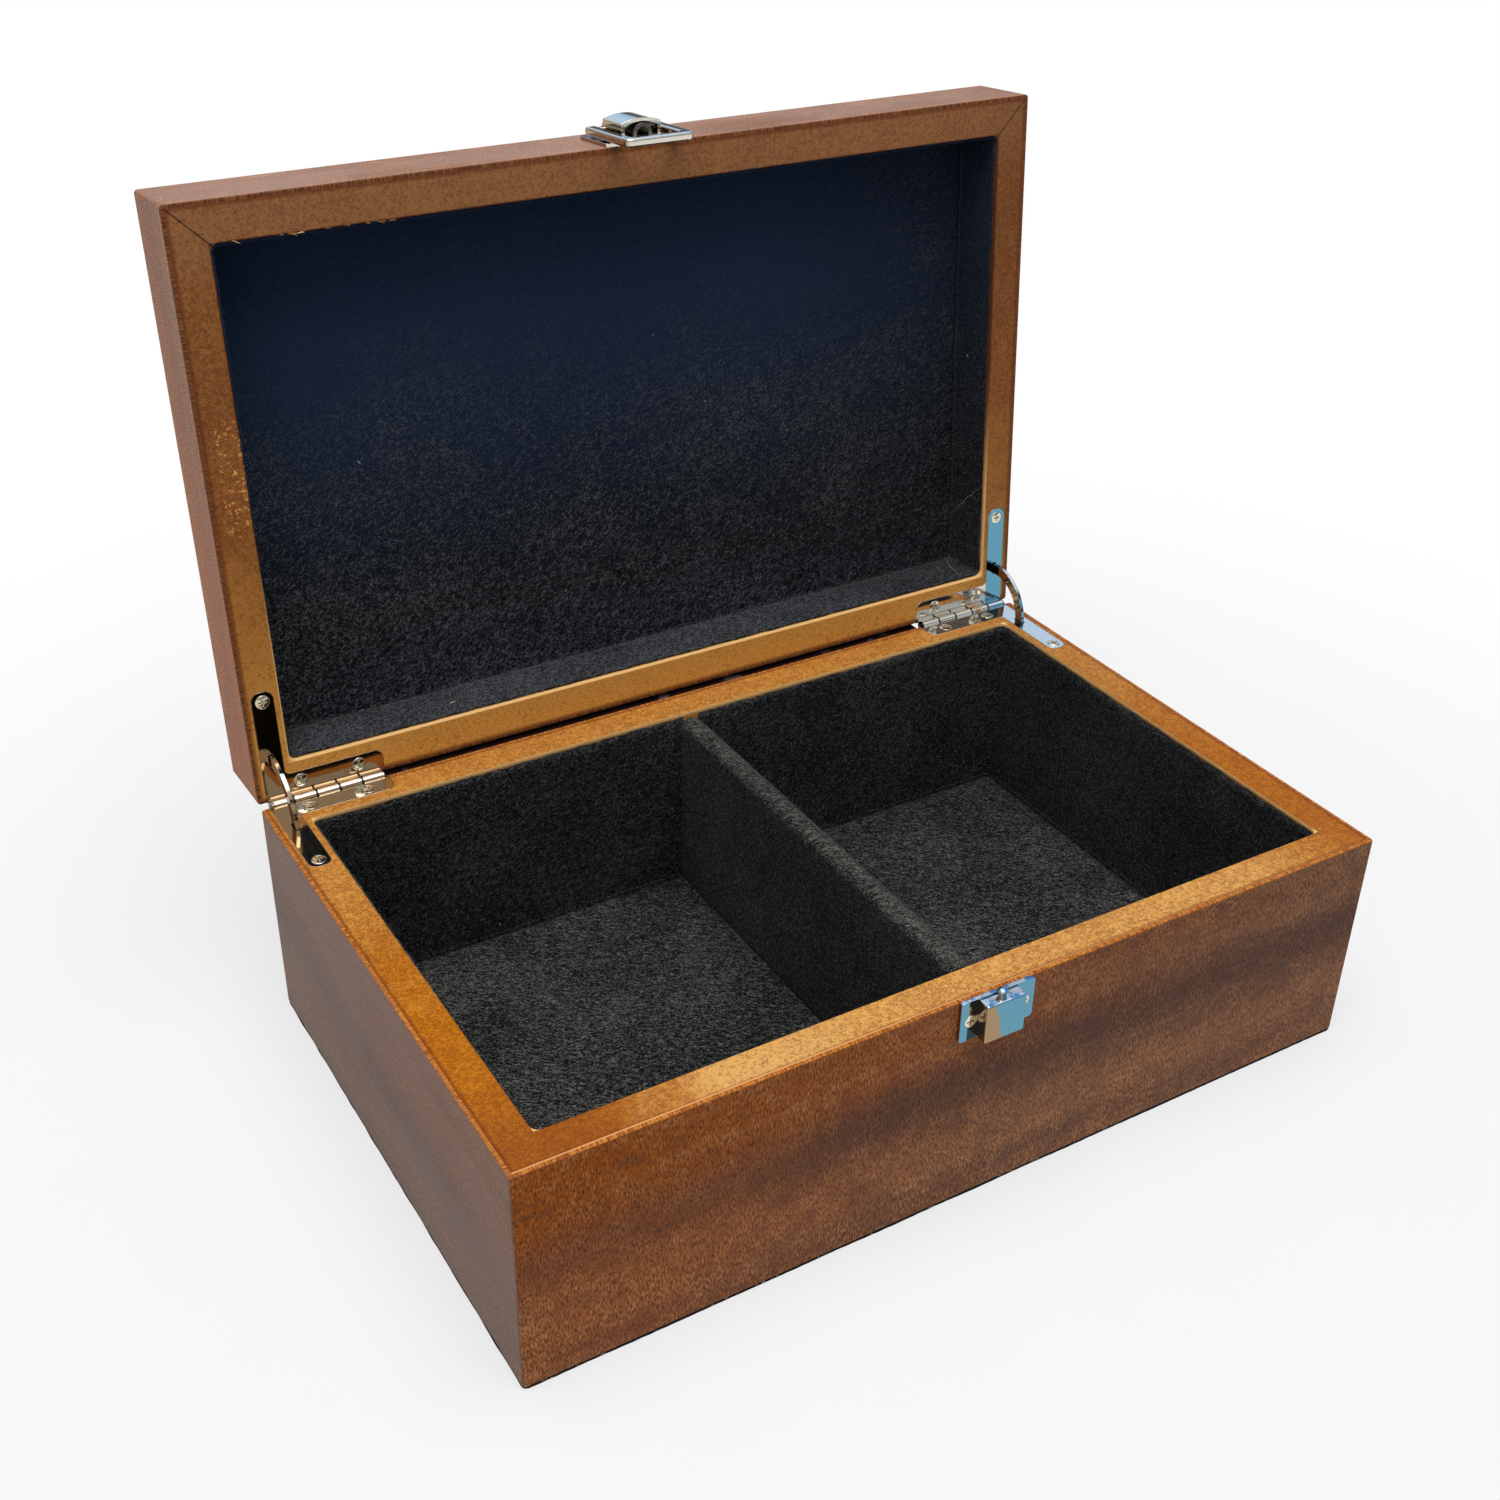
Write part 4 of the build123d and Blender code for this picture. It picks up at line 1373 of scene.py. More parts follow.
@dataclass(frozen=True)
class DividerFelt:
    """The felt folded over the divider board, with a soft round fold on top.

    Its profile is a half circle of radius `half` on two legs, q(s), carried along y:
    p(s, y) = (qx(s), y, qz(s)) plus a small unevenness square to it.

    Attributes:
        low: the lowest corner of its space.
        high: the highest corner.
        thickness: the felt's own.
        flatten: the fold's height over half its width.
        sunk: how far its feet reach into the floor's felt.
    """

    low: np.ndarray
    high: np.ndarray
    thickness: float = 0.8 * MM
    flatten: float = 0.72
    sunk: float = 0.4 * MM

    def make(self, finish: bpy.types.Material) -> bpy.types.Object:
        """Builds the fold."""
        half = (self.high[0] - self.low[0]) / 2
        crown = half * self.flatten
        leg = self.high[2] - self.low[2] - crown
        turn = np.linspace(0, math.pi, 25)
        climb = np.linspace(0, 1, 22)[:-1]
        x = np.concatenate([-half + 0 * climb, -half * np.cos(turn), half + 0 * climb])
        foot = self.low[2] - self.sunk
        leg += self.sunk
        z = foot + np.concatenate([leg * climb, leg + crown * np.sin(turn), leg * climb[::-1]])
        y = np.linspace(self.low[1], self.high[1], 240)
        shape = (len(x), len(y))
        lines = [np.broadcast_to(part, shape) for part in (x[:, None], y, z[:, None])]
        places = np.stack(lines, -1).copy()
        out = np.stack([x / half, 0 * x, np.clip((z - foot - leg) / crown, 0, 1)], -1)[:, None]
        uneven = 0.09 * wave(places, 11 * MM, 61) + 0.06 * wave(places, 2.6 * MM, 62) - 0.05
        places += out * uneven[..., None] * MM
        piece = make_piece("divider_felt_fold", places, grid_faces(*shape), "base", finish)
        thicken(piece, self.thickness - 0.1 * MM, -1.0)
        flat = (2 * leg + math.pi * half, self.high[1] - self.low[1])
        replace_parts(piece, "divider_felt")
        return piece


@dataclass(frozen=True)
class FootCloth:
    """The thin cloth under the base, a flat sheet whose cut edge wanders a little.

    Its plan is the rounded rectangle of TrayFelt scaled by m on the same square, and the outermost ring
    moves in and out by a small wave.

    Attributes:
        low: the lowest corner of its space.
        high: the highest corner.
        spread: how far its edge stands out past that space.
        corner: its corners' radius.
        steps: grid points across the square.
    """

    low: np.ndarray
    high: np.ndarray
    spread: float = 0.75 * MM
    corner: float = 1.6 * MM
    steps: int = 201

    def make(self, finish: bpy.types.Material) -> bpy.types.Object:
        """Builds the cloth."""
        wider = np.array([self.spread, self.spread, 0.0])
        frame, low, high = Turned((0.0, 0.0)), self.low - wider, self.high + wider
        tray = TrayFelt(frame, low, high, corner=self.corner, steps=self.steps)
        ring, rounded = tray.rings()
        plan = rounded * ring[..., None] * tray.half
        places = np.concatenate([plan, np.full((*ring.shape, 1), self.high[2])], -1)
        wander = (ring > 0.999)[..., None] * rounded * 0.1 * MM
        places[..., :2] += wander * (wave(places, 14 * MM, 81) + 0.5 * wave(places, 4 * MM, 82))[..., None]
        faces = grid_faces(self.steps, self.steps)
        piece = make_piece("foot_cloth", places, faces, "base", finish)
        thicken(piece, float(self.high[2] - self.low[2]), -1.0)
        wide, long = 2 * tray.half
        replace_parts(piece, "base_foot_felt")
        return piece


# ---------------------------------------------------------------- sub-assemblies


def put_on(thing: bpy.types.Object, finish: bpy.types.Material) -> None:
    """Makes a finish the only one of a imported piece."""
    slots = thing.data.materials
    if not slots:
        slots.append(finish)
    for place in range(len(slots)):
        slots[place] = finish


@dataclass
class Wood:
    """The veneered boards of the base and the lid.

    Attributes:
        base: the base's frame.
        lid: the lid's frame, in which it is closed.
        nodes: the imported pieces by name.
        veneer: the veneer.
        pale_core: the base's boards.
        dark_core: the lid's boards.
        dark_cut: the dark and the pale grain of the cut edges in the lid's rim.
    """

    base: Turned
    lid: Turned
    nodes: Mapping[str, bpy.types.Object]
    veneer: VeneerFinish = field(default_factory=VeneerFinish)
    pale_core: CoreFinish = field(default_factory=CoreFinish)
    dark_core: CoreFinish = field(
        default_factory=lambda: CoreFinish(
            ground=srgb(142, 87, 42),
            dark=srgb(92, 53, 24),
            light=srgb(190, 130, 78),
            pale=srgb(240, 170, 74),
            fleck=srgb(184, 122, 68),
            shade=srgb(118, 66, 30),
            painted_glare=srgb(164, 116, 80),
            lip_highlight=srgb(255, 206, 140),
            lip=1.4 * MM,
        )
    )
    dark_cut: tuple[Colour, Colour] = (srgb(92, 50, 26), srgb(140, 86, 46))

    def figures(self) -> dict[str, Figure]:
        """How the veneer's figure lies on each sheet, by the sheet's node."""
        base, lid, tall = self.base, self.lid, 0.088
        # painted light: lift and haze make the lid's front and left sheets lighter and the base's left
        # darker, with sheen
        return {
            "base_veneer_front": Figure(
                base, Face.FRONT, 0.37, 0.85, 0.042, 0.046, lift=1.08, gloss=0.08, low_lift=0.25
            ),
            "base_veneer_back": Figure(base, Face.BACK, 0.74, 0.7, 0.048, 0.03),
            "base_veneer_left": Figure(base, Face.LEFT, 1.11, 0.5, 0.03, 0.042, (0.5, 1.05), 0.84, 0.22),
            "base_veneer_right": Figure(base, Face.RIGHT, 1.48, 0.6, 0.046, 0.034, (0.9, 0.4)),
            "lid_veneer_front": Figure(lid, Face.FRONT, 2.47, 0.25, tall, tall, (0.8, 1.0), 1.25, 0.35),
            "lid_veneer_back": Figure(lid, Face.BACK, 2.84, 0.4, tall, tall),
            "lid_veneer_left": Figure(lid, Face.LEFT, 3.21, 0.3, tall, tall, (0.7, -0.8), 1.6, 0.06),
            "lid_veneer_right": Figure(lid, Face.RIGHT, 3.58, 0.3, tall, tall),
            "lid_veneer_top": Figure(lid, Face.TOP, 3.95, 0.6, 0.01, 0.03, (0.2, 0.8)),
        }

    def dress(self) -> None:
        """Gives every board and every sheet of veneer its finish."""
        for tray, frame, core in (("base", self.base, self.pale_core), ("lid", self.lid, self.dark_core)):
            boards = [f"{tray}_wall_{side.value}" for side in Face if side is not Face.TOP]
            outer, lid = Extent.of(frame, *boards), tray == "lid"
            rim = Rim(frame, self._hollow(frame, tray), outer, outer.foot if lid else outer.top, lid)
            finish = core.make(f"{tray}_core", rim)
            for name in boards + ["base_floor_board" if tray == "base" else "lid_top_board"]:
                put_on(self.nodes[name], finish)
        for name, figure in self.figures().items():
            if figure.face is not Face.TOP:
                space = Extent.of(figure.frame, name)
                if figure.frame is self.base:
                    figure = replace(figure, rim=space.top)
                else:
                    figure = replace(figure, rim=space.foot, cut=self.dark_cut)
            put_on(self.nodes[name], self.veneer.make(name, figure))
            LOG.info("%s: veneered", name)

    def _hollow(self, frame: Turned, tray: str) -> Extent:
        """The opening inside a tray's walls."""
        side = Extent.of(frame, f"{tray}_wall_right")
        x, y = side.left, Extent.of(frame, f"{tray}_wall_front").back
        return Extent(np.array([-x, y, side.foot]), np.array([x, -y, side.top]))


@dataclass
class Linings:
    """The felt of the trays, the divider and the foot.

    Attributes:
        base: the base's frame.
        lid: the lid's frame, in which it is closed.
        walls_felt: the base's felt.
        lid_felt: the lid's felt, with a painted blue reflection.
        divider: the divider's felt.
        cloth: the foot's cloth.
        trays: the finished trays, with their bodies and seeds.
    """

    base: Turned
    lid: Turned
    walls_felt: FeltFinish = FeltFinish()
    # the third colour is the painted blue reflection on the lid's felt
    lid_felt: FeltFinish = FeltFinish(srgb(6, 8, 13), srgb(100, 102, 106), srgb(30, 47, 72), 0.5, 0.15)
    # the divider's top is painted lighter above 72.5 mm, as lit from above
    divider: FeltFinish = FeltFinish(srgb(8, 8, 10), srgb(118, 117, 112), None, 0.5, 0.3, lit_crest=0.0725)
    cloth: FeltFinish = FeltFinish(srgb(8, 9, 11), srgb(50, 52, 56), None, 1.0, 0.1)
    trays: list[tuple[TrayFelt, str, int]] = field(default_factory=list)

    def make(self) -> None:
        """Lays every lining."""
        both = Extent.of(self.base, "base_lining_left", "base_lining_right")
        whole = self._inside(self.base, both, 0, up=True)
        grey = self.walls_felt.make("tray_felt", self.base, Extent(whole.low, whole.high))
        for side, hem in (("left", 1), ("right", -1)):
            node = f"base_lining_{side}"
            tray = self._inside(self.base, Extent.of(self.base, node), hem, up=True)
            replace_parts(tray.make(f"tray_felt_{side}", "base", grey, 11 + hem, "base_floor_board"), node)
            self.trays.append((tray, "base", 11 + hem))
        tray = self._inside(self.lid, Extent.of(self.lid, "lid_lining"), 0, up=False)
        blue = self.lid_felt.make("lid_felt", self.lid, Extent(tray.low, tray.high))
        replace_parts(tray.make("lid_felt_sheet", "lid", blue, 31, "lid_top_board"), "lid_lining")
        self.trays.append((tray, "lid", 31))
        over = Extent.of(self.base, "divider_felt")
        DividerFelt(over.low, over.high).make(self.divider.make("divider_felt_pile", self.base))
        under = Extent.of(self.base, "base_foot_felt")
        FootCloth(under.low, under.high).make(self.cloth.make("foot_cloth_weave", self.base))

    def _inside(self, frame: Turned, space: Extent, hem: int, up: bool) -> TrayFelt:
        """The tray inside a lining's space: its thickness off the walls and the floor.

        On the divider's side it runs on under the divider's own felt.
        """
        felt, under_divider = 0.8 * MM, 2.4 * MM
        low, high = space.low.copy(), space.high.copy()
        low[0] += -under_divider if hem < 0 else felt
        high[0] -= -under_divider if hem > 0 else felt
        low[1] += felt
        high[1] -= felt
        low[2], high[2] = (low[2] + felt, high[2]) if up else (high[2] - felt, low[2])
        return TrayFelt(frame, low, high, hem)


@dataclass
class Wear:
    """What years of use have left: frayed felt, lint, loose threads, splinters and bits under the foot.

    Attributes:
        base: the base's frame.
        lid: the lid's frame, in which it is closed.
        trays: the linings, with their bodies and seeds.
        fuzz: fibres that stand out of the felt's edges.
        lint: pale specks on the felt.
        thread: the two loose threads in the lid.
        wood: splinters at the lid's opening.
        edge_fibres: how many fibres stand along a tray's top edge.
        fold_fibres: how many stand along its fold.
        divider_fibres: how many stand on the divider.
        foot_fibres: how many stick out under the foot.
        lint_count: how many specks lie in a tray.
        looped_thread: both ends of the thread that ends in loops, in millimetres.
        bent_thread: both ends of the other one.
        splinter_spots: the middle and the spread along x of each tuft of splinters, and their number.
        lid_lip: y and z of the lid's lip that the splinters stand on, in millimetres.
        foot_edge: x of the foot cloth's left edge and y of its front edge, in millimetres.
        foot_reach: how far fibres go to each side of the middle along x and y, in millimetres.
    """

    base: Turned
    lid: Turned
    trays: Sequence[tuple[TrayFelt, str, int]]
    fuzz: StrandFinish = StrandFinish(srgb(30, 30, 32), srgb(92, 90, 86))
    lint: StrandFinish = StrandFinish(srgb(190, 188, 182), srgb(244, 242, 236))
    thread: StrandFinish = StrandFinish(srgb(176, 176, 176), srgb(226, 224, 220))
    wood: StrandFinish = StrandFinish(srgb(214, 150, 92), srgb(250, 212, 160))
    edge_fibres: int = 420
    fold_fibres: int = 300
    divider_fibres: int = 400
    foot_fibres: int = 90
    lint_count: int = 34
    looped_thread: tuple[Spot, Spot] = ((131.6, 60.0, 94.5), (131.4, 43.5, 76.2))
    bent_thread: tuple[Spot, Spot] = ((130.0, 77.4, 95.0), (123.5, 77.4, 77.5))
    splinter_spots: tuple[tuple[float, float, int], ...] = ((-108, 3.5, 14), (-82, 1.2, 4), (-100, 14, 8))
    lid_lip: tuple[float, float] = (-79.1, 76.15)
    foot_edge: tuple[float, float] = (-144.9, -90.9)
    foot_reach: tuple[float, float] = (144.5, 90.0)

    def make(self) -> None:
        """Adds every kind of wear."""
        kinds = {"fuzz": self.fuzz, "lint": self.lint, "thread": self.thread, "wood": self.wood}
        finishes = {word: kind.make(f"{word}_strands") for word, kind in kinds.items()}
        for order, (tray, body, seed) in enumerate(self.trays):
            self._fray(tray, body, 100 + order, finishes["fuzz"])
            self._lint(tray, body, 200 + order, seed, finishes["lint"])
        self._divider_fuzz(finishes["fuzz"])
        self._threads(finishes["thread"])
        self._splinters(finishes["wood"])
        self._foot_bits(finishes["lint"])

    def _fray(self, tray: TrayFelt, body: str, seed: int, finish: bpy.types.Material) -> None:
        """Fibres along a tray's top edge and along its fold, more of them where the edge is longer."""
        dice = np.random.default_rng(seed)
        out = math.copysign(1, tray.rise)
        top, ways = tray.edge(self.edge_fibres, seed, tray.high[2] - 0.1 * MM * out)
        foot, foot_ways = tray.edge(self.fold_fibres, seed + 50, tray.low[2] + 0.1 * MM * out)
        roots, inward = np.concatenate([top, foot]), np.concatenate([ways, foot_ways])
        loose = dice.normal(size=roots.shape) * 0.7
        loose[:, 2] = np.abs(loose[:, 2]) * out
        heads = inward * 0.5 + loose
        lengths = dice.uniform(0.5, 1.5, len(roots)) * MM
        points, faces = Strands(0.03 * MM).mesh(roots, heads, lengths, 0.8, seed)
        make_piece(f"frayed_edge_{seed - 99}", tray.frame.to_packed(points), faces, body, finish)

    def _divider_fuzz(self, finish: bpy.types.Material) -> None:
        """Fibres that stand out of both shoulders of the divider's fold."""
        dice = np.random.default_rng(150)
        fold = Extent.of(self.base, "divider_felt")
        count = self.divider_fibres
        side = np.where(np.arange(count) % 2 == 0, 1.0, -1.0)
        x = side * (fold.right - dice.uniform(0.1, 1.4, count) * MM)
        y = dice.uniform(fold.front, fold.back, count) * 0.995
        z = fold.top - (np.abs(x) / fold.right) ** 4 * 2.0 * MM
        heads = np.stack([side, 0 * x, 0.6 + 0 * x], -1) * 0.5 + dice.normal(size=(count, 3)) * 0.5
        lengths = dice.uniform(0.5, 1.3, count) * MM
        points, faces = Strands(0.03 * MM).mesh(np.stack([x, y, z], -1), heads, lengths, 0.8, 151)
        make_piece("divider_fray", points, faces, "base", finish)

    def _lint(
        self, tray: TrayFelt, body: str, seed: int, shape_seed: int, finish: bpy.types.Material
    ) -> None:
        """Short thick specks and a few hairs, lying on the felt."""
        dice = np.random.default_rng(seed)
        roots, away = tray.spots(self.lint_count, seed, shape_seed)
        slide = np.cross(away, dice.normal(size=roots.shape))
        heads = slide / np.linalg.norm(slide, axis=1, keepdims=True) + away * 0.15
        usual = np.where(np.arange(len(roots)) % 6 == 0, 2.2, 0.45)
        lengths = usual * dice.uniform(0.6, 1.3, len(roots)) * MM
        points, faces = Strands(0.1 * MM).mesh(roots + away * 0.15 * MM, heads, lengths, 0.5, seed)
        make_piece(f"lint_{seed - 199}", tray.frame.to_packed(points), faces, body, finish)

    def _threads(self, finish: bpy.types.Material) -> None:
        """Two loose threads near the lid's hinge corner: one ends in loops, the other only bends.

        Each runs p(t) = start + t (end - start) + r(t) (cos(a t) u + sin(a t) w), with r(t) wide where it
        loops.
        """
        t = np.linspace(0, 1, 60)[:, None]
        loops = 0.9 * MM * np.clip((t - 0.25) / 0.2, 0, 1) * np.clip((0.8 - t) / 0.15, 0, 1)
        first = self._thread(*self.looped_thread, t, loops + 0.15 * MM, 26.0)
        second = self._thread(*self.bent_thread, t, 0.7 * MM * np.sin(3 * t), 7.0)
        lines = np.stack([first, second])
        points, faces = Strands(0.06 * MM).tubes(lines, np.array([[-0.9, 0.0, 0.43], [0.1, -0.9, 0.42]]))
        make_piece("lid_threads", self.lid.to_packed(points), faces, "lid", finish)

    @staticmethod
    def _thread(start: Spot, end: Spot, t: np.ndarray, radius: np.ndarray, turns: float) -> np.ndarray:
        """One thread's line, from its ends in millimetres."""
        first, last = np.array(start) * MM, np.array(end) * MM
        side = np.array([0.0, 0.75, 0.66]) if abs(first[0] - last[0]) < MM else np.array([0.9, 0.0, 0.4])
        lift = np.array([-0.5, -0.3, 0.0])
        return first + t * (last - first) + radius * (np.cos(turns * t) * side + np.sin(turns * t) * lift)

    def _splinters(self, finish: bpy.types.Material) -> None:
        """Torn wood fibres on the inner edge of the lid's front rail."""
        dice = np.random.default_rng(300)
        x = np.concatenate([dice.normal(*part) for part in self.splinter_spots]) * MM
        count = len(x)
        y = self.lid_lip[0] * MM + dice.uniform(-0.2, 0.2, count) * MM
        roots = np.stack([x, y, np.full(count, self.lid_lip[1] * MM)], -1)
        ways = (dice.uniform(0.6, 1, count), dice.normal(0, 0.1, count), dice.uniform(-0.1, 0.1, count))
        heads = np.stack(ways, -1)
        lengths = dice.uniform(0.6, 2.8, count) * MM
        points, faces = Strands(0.11 * MM).mesh(roots, heads, lengths, 0.25, 300)
        make_piece("rim_splinters", self.lid.to_packed(points), faces, "lid", finish)

    def _foot_bits(self, finish: bpy.types.Material) -> None:
        """Pale fibres and crumbs caught at the edge of the foot cloth, along the front and the left."""
        dice = np.random.default_rng(310)
        count = self.foot_fibres
        front = np.arange(count) % 4 > 0
        along = dice.uniform(-1, 1, count)
        x = np.where(front, along * self.foot_reach[0], self.foot_edge[0]) * MM
        y = np.where(front, self.foot_edge[1], along * self.foot_reach[1]) * MM
        roots = np.stack([x, y, dice.uniform(0.35, 0.9, count) * MM], -1)
        heads = np.stack([front + 0.2 * along, 1 - front + 0.2 * along, dice.normal(0, 0.12, count)], -1)
        points, faces = Strands(0.06 * MM).mesh(roots, heads, dice.uniform(0.3, 1.6, count) * MM, 0.2, 310)
        make_piece("foot_bits", points, faces, "base", finish)


@dataclass
class Hardware:
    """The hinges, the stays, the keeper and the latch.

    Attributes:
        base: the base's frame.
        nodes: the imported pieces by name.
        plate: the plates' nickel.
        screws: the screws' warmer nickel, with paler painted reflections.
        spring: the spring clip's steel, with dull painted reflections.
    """

    base: Turned
    nodes: Mapping[str, bpy.types.Object]
    plate: NickelFinish = NickelFinish()
    screws: NickelFinish = NickelFinish(
        *(srgb(238, 232, 210), srgb(228, 222, 200), srgb(240, 236, 220), srgb(214, 204, 180)), haze=0.14
    )
    spring: NickelFinish = NickelFinish(
        *(srgb(120, 116, 110), srgb(90, 92, 94), srgb(130, 130, 128)), haze=0.2
    )

    def dress(self) -> None:
        """Gives every metal piece its finish."""
        pins = Extent.of(self.base, "hinge_pin_right")
        middle = (pins.low + pins.high) / 2
        barrel = Barrel(pins.left, pins.right, (float(middle[1]), float(middle[2])))
        bright = self.plate.make("bright_nickel", self.base, barrel=barrel)
        edge = Extent.of(self.base, "keeper_block").left
        keeper = self.plate.make("keeper_block_nickel", self.base, -0.0028)
        # a painted dark reflection on the keeper plate beside the block
        behind = self.plate.make("keeper_plate_nickel", self.base, shade=(edge - 3.4 * MM, edge))
        warm = self.screws.make("screw_nickel", self.base)
        steel = self.spring.make("spring_steel", self.base)
        for name, thing in self.nodes.items():
            if name.startswith(("hinge", "keeper", "latch")):
                plain = {"keeper_block": keeper, "keeper_plate": behind}.get(name, bright)
                put_on(thing, warm if "screws" in name else steel if name == "latch_clip" else plain)
        LOG.info("metal dressed")


# ---------------------------------------------------------------- studio


@dataclass(frozen=True)
class Lamp:
    """A soft square lamp.

    Attributes:
        name: its name.
        place: where it hangs.
        aim: what it points at.
        size: its width.
        power: its watts.
        colour: its light.
    """

    name: str
    place: Spot
    aim: Spot
    size: float
    power: float
    colour: Colour

    def hang(self) -> None:
        """Adds the lamp to the scene."""
        light = bpy.data.lights.new(self.name, "AREA")
        light.shape = "SQUARE"
        light.size = self.size
        light.energy = self.power
        light.color = self.colour
        lamp = bpy.data.objects.new(self.name, light)
        lamp.location = self.place
        lamp.rotation_mode = "QUATERNION"
        lamp.rotation_quaternion = (Vector(self.aim) - Vector(self.place)).to_track_quat("-Z", "Y")
        bpy.context.scene.collection.objects.link(lamp)


@dataclass
class Studio:
    """The camera, the pale floor and the soft light.

    Attributes:
        place: the camera's place.
        right: the picture's right.
        down: the picture's downward way.
        ahead: the way that the camera looks.
        lens: its focal length over a 36 mm wide sensor.
        floor_half: half the floor's width.
        floor_drop: how far the floor lies below the foot, so that they don't touch.
        card_depth: how far the dark card behind the box, painted shade for the slit, reaches.
        card_drop: how far it lies below the rim.
        lamps: the lamps.
    """

    place: Spot = (-0.267963, -0.396363, 0.396825)
    right: Spot = (0.857759, -0.513731, 0.018165)
    down: Spot = (-0.256762, -0.458785, -0.850641)
    ahead: Spot = (0.445334, 0.724981, -0.525433)
    lens: float = 44.946
    floor_half: float = 4.0
    floor_drop: float = 0.2 * MM
    card_depth: float = 6.0 * MM
    card_drop: float = 1.5 * MM
    lamps: tuple[Lamp, ...] = (
        Lamp("overhead", (-0.12, -0.18, 1.38), (0.0, 0.0, 0.08), 1.1, 15.5, (1.0, 0.985, 0.96)),
        Lamp("window", (-1.3, -1.0, 0.9), (0.0, 0.0, 0.12), 1.0, 2.0, (0.86, 0.93, 1.0)),
    )

    def make(self, base: Turned) -> None:
        """Sets up the camera, the floor, the lamps and the colours of the picture."""
        self._camera()
        self._floor()
        pin = Extent.of(base, "hinge_pin_right")
        # a dark card laid as painted shade in the slit under the open lid
        self._lay_shade_card(Extent.of(base, "base_veneer_back"), pin.left - MM)
        for lamp in self.lamps:
            lamp.hang()
        world = bpy.data.worlds.new("room")
        bpy.context.scene.world = world
        world.use_nodes = True
        Room(Bench("room", world.node_tree)).make()
        bpy.context.scene.view_settings.view_transform = "Standard"

    def _camera(self) -> None:
        """Sets the camera where the photograph was taken."""
        rows = zip(self.right, (-n for n in self.down), (-n for n in self.ahead), self.place)
        lens = bpy.data.cameras.new("camera")
        lens.sensor_width, lens.lens = 36.0, self.lens
        lens.clip_start, lens.clip_end = 0.01, 50.0
        camera = bpy.data.objects.new("camera", lens)
        camera.matrix_world = Matrix([*[tuple(row) for row in rows], (0, 0, 0, 1)])
        bpy.context.scene.collection.objects.link(camera)
        bpy.context.scene.camera = camera

    def _floor(self) -> None:
        """Lays a pale floor, white to the eye away from the object, that keeps its shadow."""
        bench = Bench("pale_floor")
        here = bench.place()
        x, y, _ = bench.axes(here)
        path = bench.node("ShaderNodeLightPath")
        seen = bench.out_of(path, "Is Camera Ray").most(bench.out_of(path, "Is Glossy Ray"))
        grain = bench.noise(here, 40)
        bright = bench.mix(grain, (0.86, 0.86, 0.87), (0.89, 0.89, 0.9))
        colour = bench.mix(seen, (0.5, 0.5, 0.5), bright)
        matte = bench.node("ShaderNodeBsdfDiffuse", None, {"Color": colour})
        glow = bench.node("ShaderNodeEmission", None, {"Color": (1, 1, 1, 1), "Strength": 1.0})
        away = (x * x + y * y) ** 0.5
        share = seen * (0.62 + away.rise(0.2, 0.5) * 0.38)
        bench.node_output(bench.node("ShaderNodeMixShader", None, {0: share, 1: matte, 2: glow}))
        line = np.linspace(-self.floor_half, self.floor_half, 9)
        x, y = np.meshgrid(line, line, indexing="ij")
        points = np.stack([x, y, 0 * x - self.floor_drop], -1)
        floor = make_mesh("floor", points, grid_faces(*x.shape), bench.material)

    def _lay_shade_card(self, rim: Extent, reach: float) -> None:
        """Lays a narrow dark card behind the base, a little below its rim, under the open lid.

        As painted shade, it shows in the slit between the open lid and the base, not the bright floor
        behind.

        Args:
            rim: the space of the base's back veneer.
            reach: how far the card runs to each side of the middle.
        """
        bench = Bench("painted_shade_card")
        # painted shade: dark brown with a few grey bits
        mottled = bench.noise(bench.place(), 90, 2).rise(0.56, 0.66)
        colour = bench.mix(mottled * 0.6, srgb(44, 28, 28), srgb(120, 110, 112))
        bench.node_output(bench.node("ShaderNodeBsdfDiffuse", None, {"Color": colour}))
        depth = np.array([0.3 * MM, self.card_depth])
        x, y = np.meshgrid(np.linspace(-reach, reach, 24), rim.back + depth, indexing="ij")
        points = np.stack([x, y, 0 * x + rim.top - self.card_drop], -1)
        card = make_mesh("slit_card", points, grid_faces(*x.shape), bench.material)


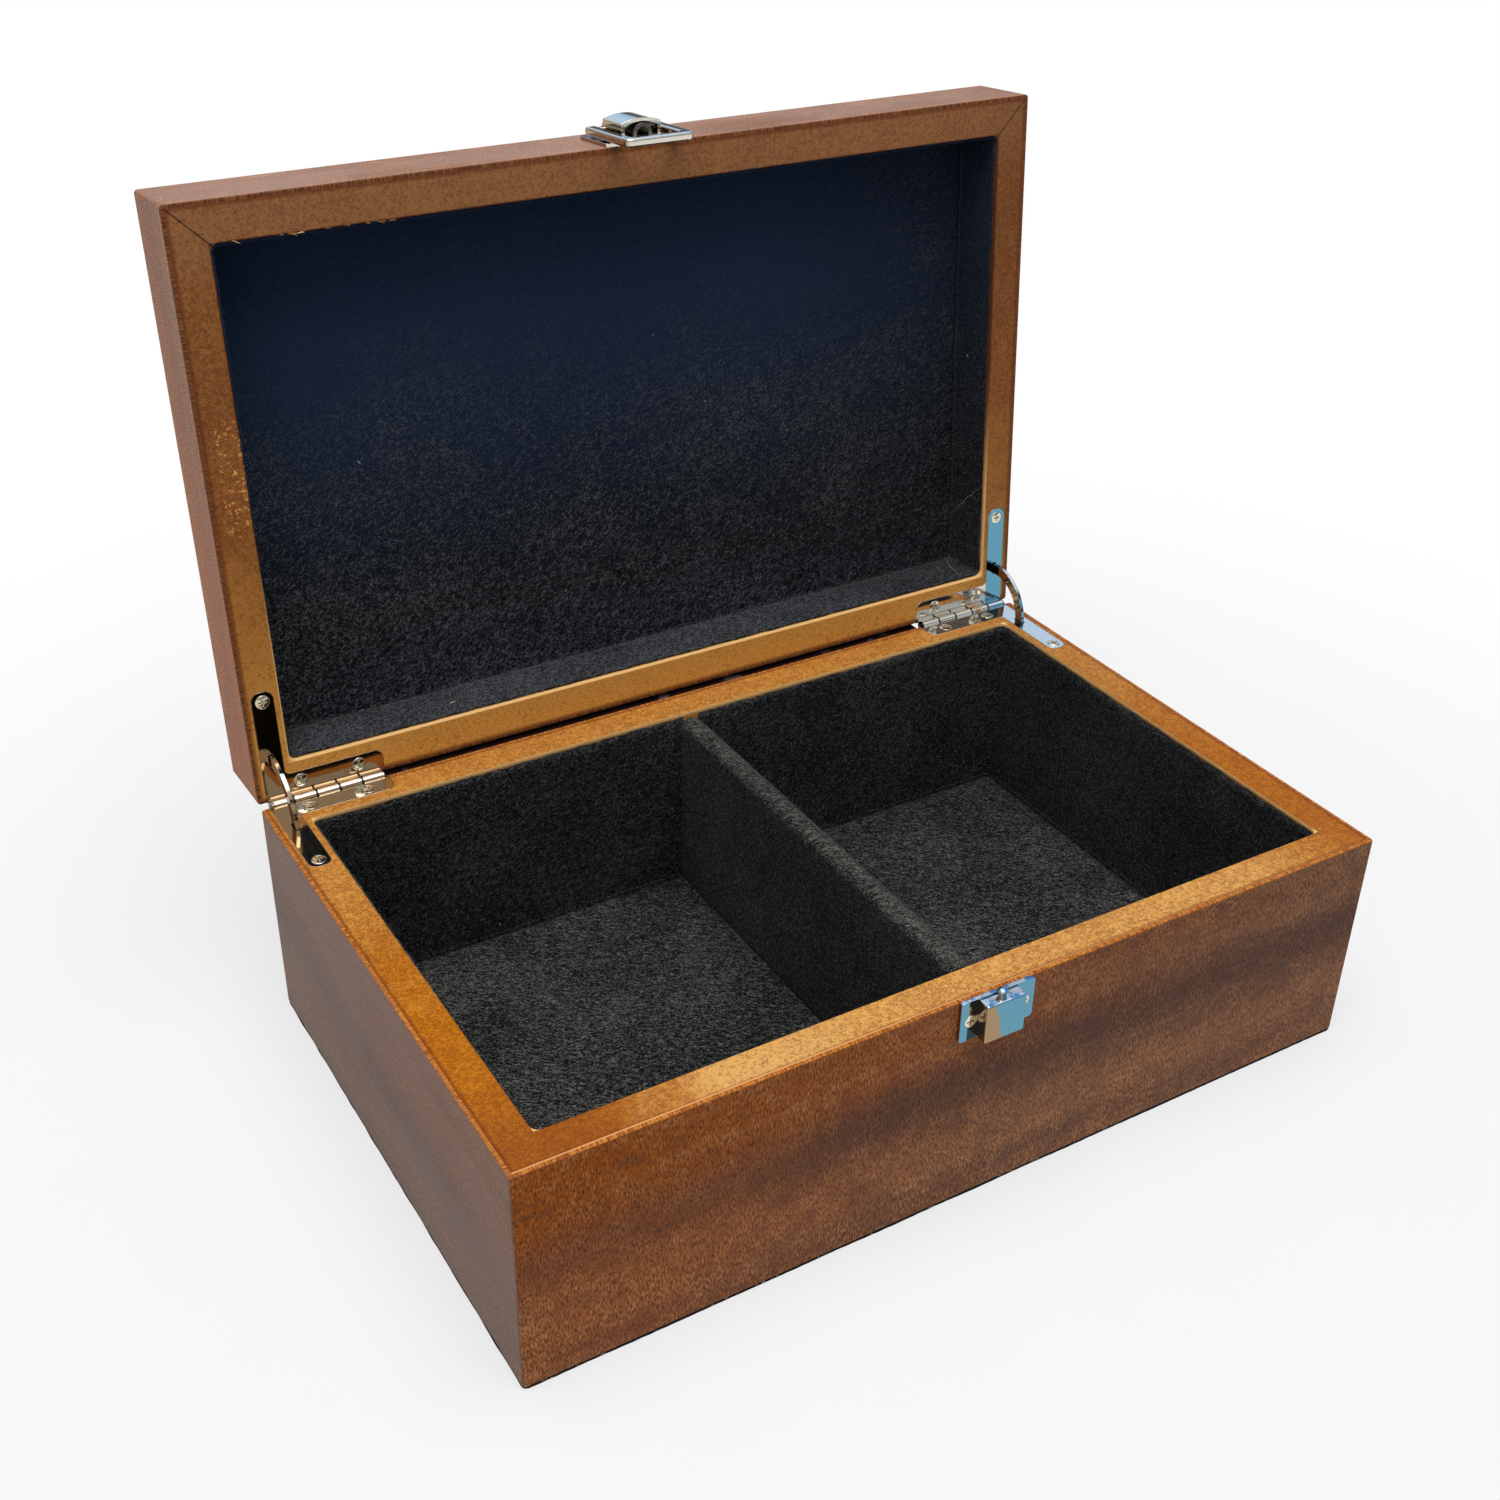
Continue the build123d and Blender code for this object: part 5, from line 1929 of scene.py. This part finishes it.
@dataclass
class Room:
    """The light of the room by direction: soft on matte surfaces, banded for what mirrors it.

    Attributes:
        bench: the world's nodes.
        light: how strongly it lights matte surfaces.
        mirrored: how bright its mirror image is.
        matte_stops: the light's colours from below to above.
        mirror_stops: the mirrored bands' colours from below to above.
    """

    bench: Bench
    light: float = 0.33
    mirrored: float = 0.9
    matte_stops: tuple[tuple[float, Colour], ...] = (
        (0.0, (0.5, 0.5, 0.5)),
        (0.12, (0.6, 0.74, 0.86)),
        (0.55, (0.86, 0.92, 1.0)),
        (1.0, (1.0, 1.0, 1.0)),
    )
    mirror_stops: tuple[tuple[float, Colour], ...] = (
        (0.0, (0.2, 0.17, 0.15)),
        (0.08, (0.05, 0.035, 0.03)),
        (0.16, (0.5, 0.68, 0.8)),
        (0.42, (0.85, 0.93, 1.0)),
        (0.5, (0.06, 0.05, 0.045)),
        (0.58, (0.1, 0.08, 0.07)),
        (0.66, (0.95, 0.97, 1.0)),
        (1.0, (1.0, 1.0, 1.0)),
    )

    def make(self) -> None:
        """Joins the directions, the colours and the strengths."""
        bench = self.bench
        way = bench.node("ShaderNodeTexCoord", None, None, "Generated")
        _, _, up = bench.axes(way)
        path = bench.node("ShaderNodeLightPath")
        wavy = up + (bench.noise(way, 2.2, 2) - 0.5) * 0.35
        soft, bands = bench.ramp(up, self.matte_stops), bench.ramp(wavy, self.mirror_stops)
        light = bench.node("ShaderNodeBackground", None, {"Color": soft, "Strength": self.light})
        mirrored = bench.node("ShaderNodeBackground", None, {"Color": bands, "Strength": self.mirrored})
        white = bench.node("ShaderNodeBackground", None, {"Color": (1, 1, 1, 1), "Strength": 1.0})
        glossy, eye = bench.out_of(path, "Is Glossy Ray"), bench.out_of(path, "Is Camera Ray")
        both = bench.node("ShaderNodeMixShader", None, {0: glossy, 1: light, 2: mirrored})
        shown = bench.node("ShaderNodeMixShader", None, {0: eye, 1: both, 2: white})
        end = bench.tree.nodes.new("ShaderNodeOutputWorld")
        bench.tree.links.new(shown.socket, end.inputs[0])


def main() -> None:
    """Builds the box's looks in order."""
    logging.basicConfig(level=logging.INFO, format="%(message)s")
    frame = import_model()
    hinge = next(joint for joint in frame["joints"] if joint["name"] == "lid_hinge")
    pivot = (hinge["pos_m"][1], hinge["pos_m"][2])
    base, lid = Turned(pivot), Turned(pivot, math.radians(hinge["range_deg"][1]))
    Studio().make(base)
    Wood(base, lid, frame["nodes"]).dress()
    Hardware(base, frame["nodes"]).dress()
    linings = Linings(base, lid)
    linings.make()
    Wear(base, lid, linings.trays).make()


if __name__ == "__main__":
    main()
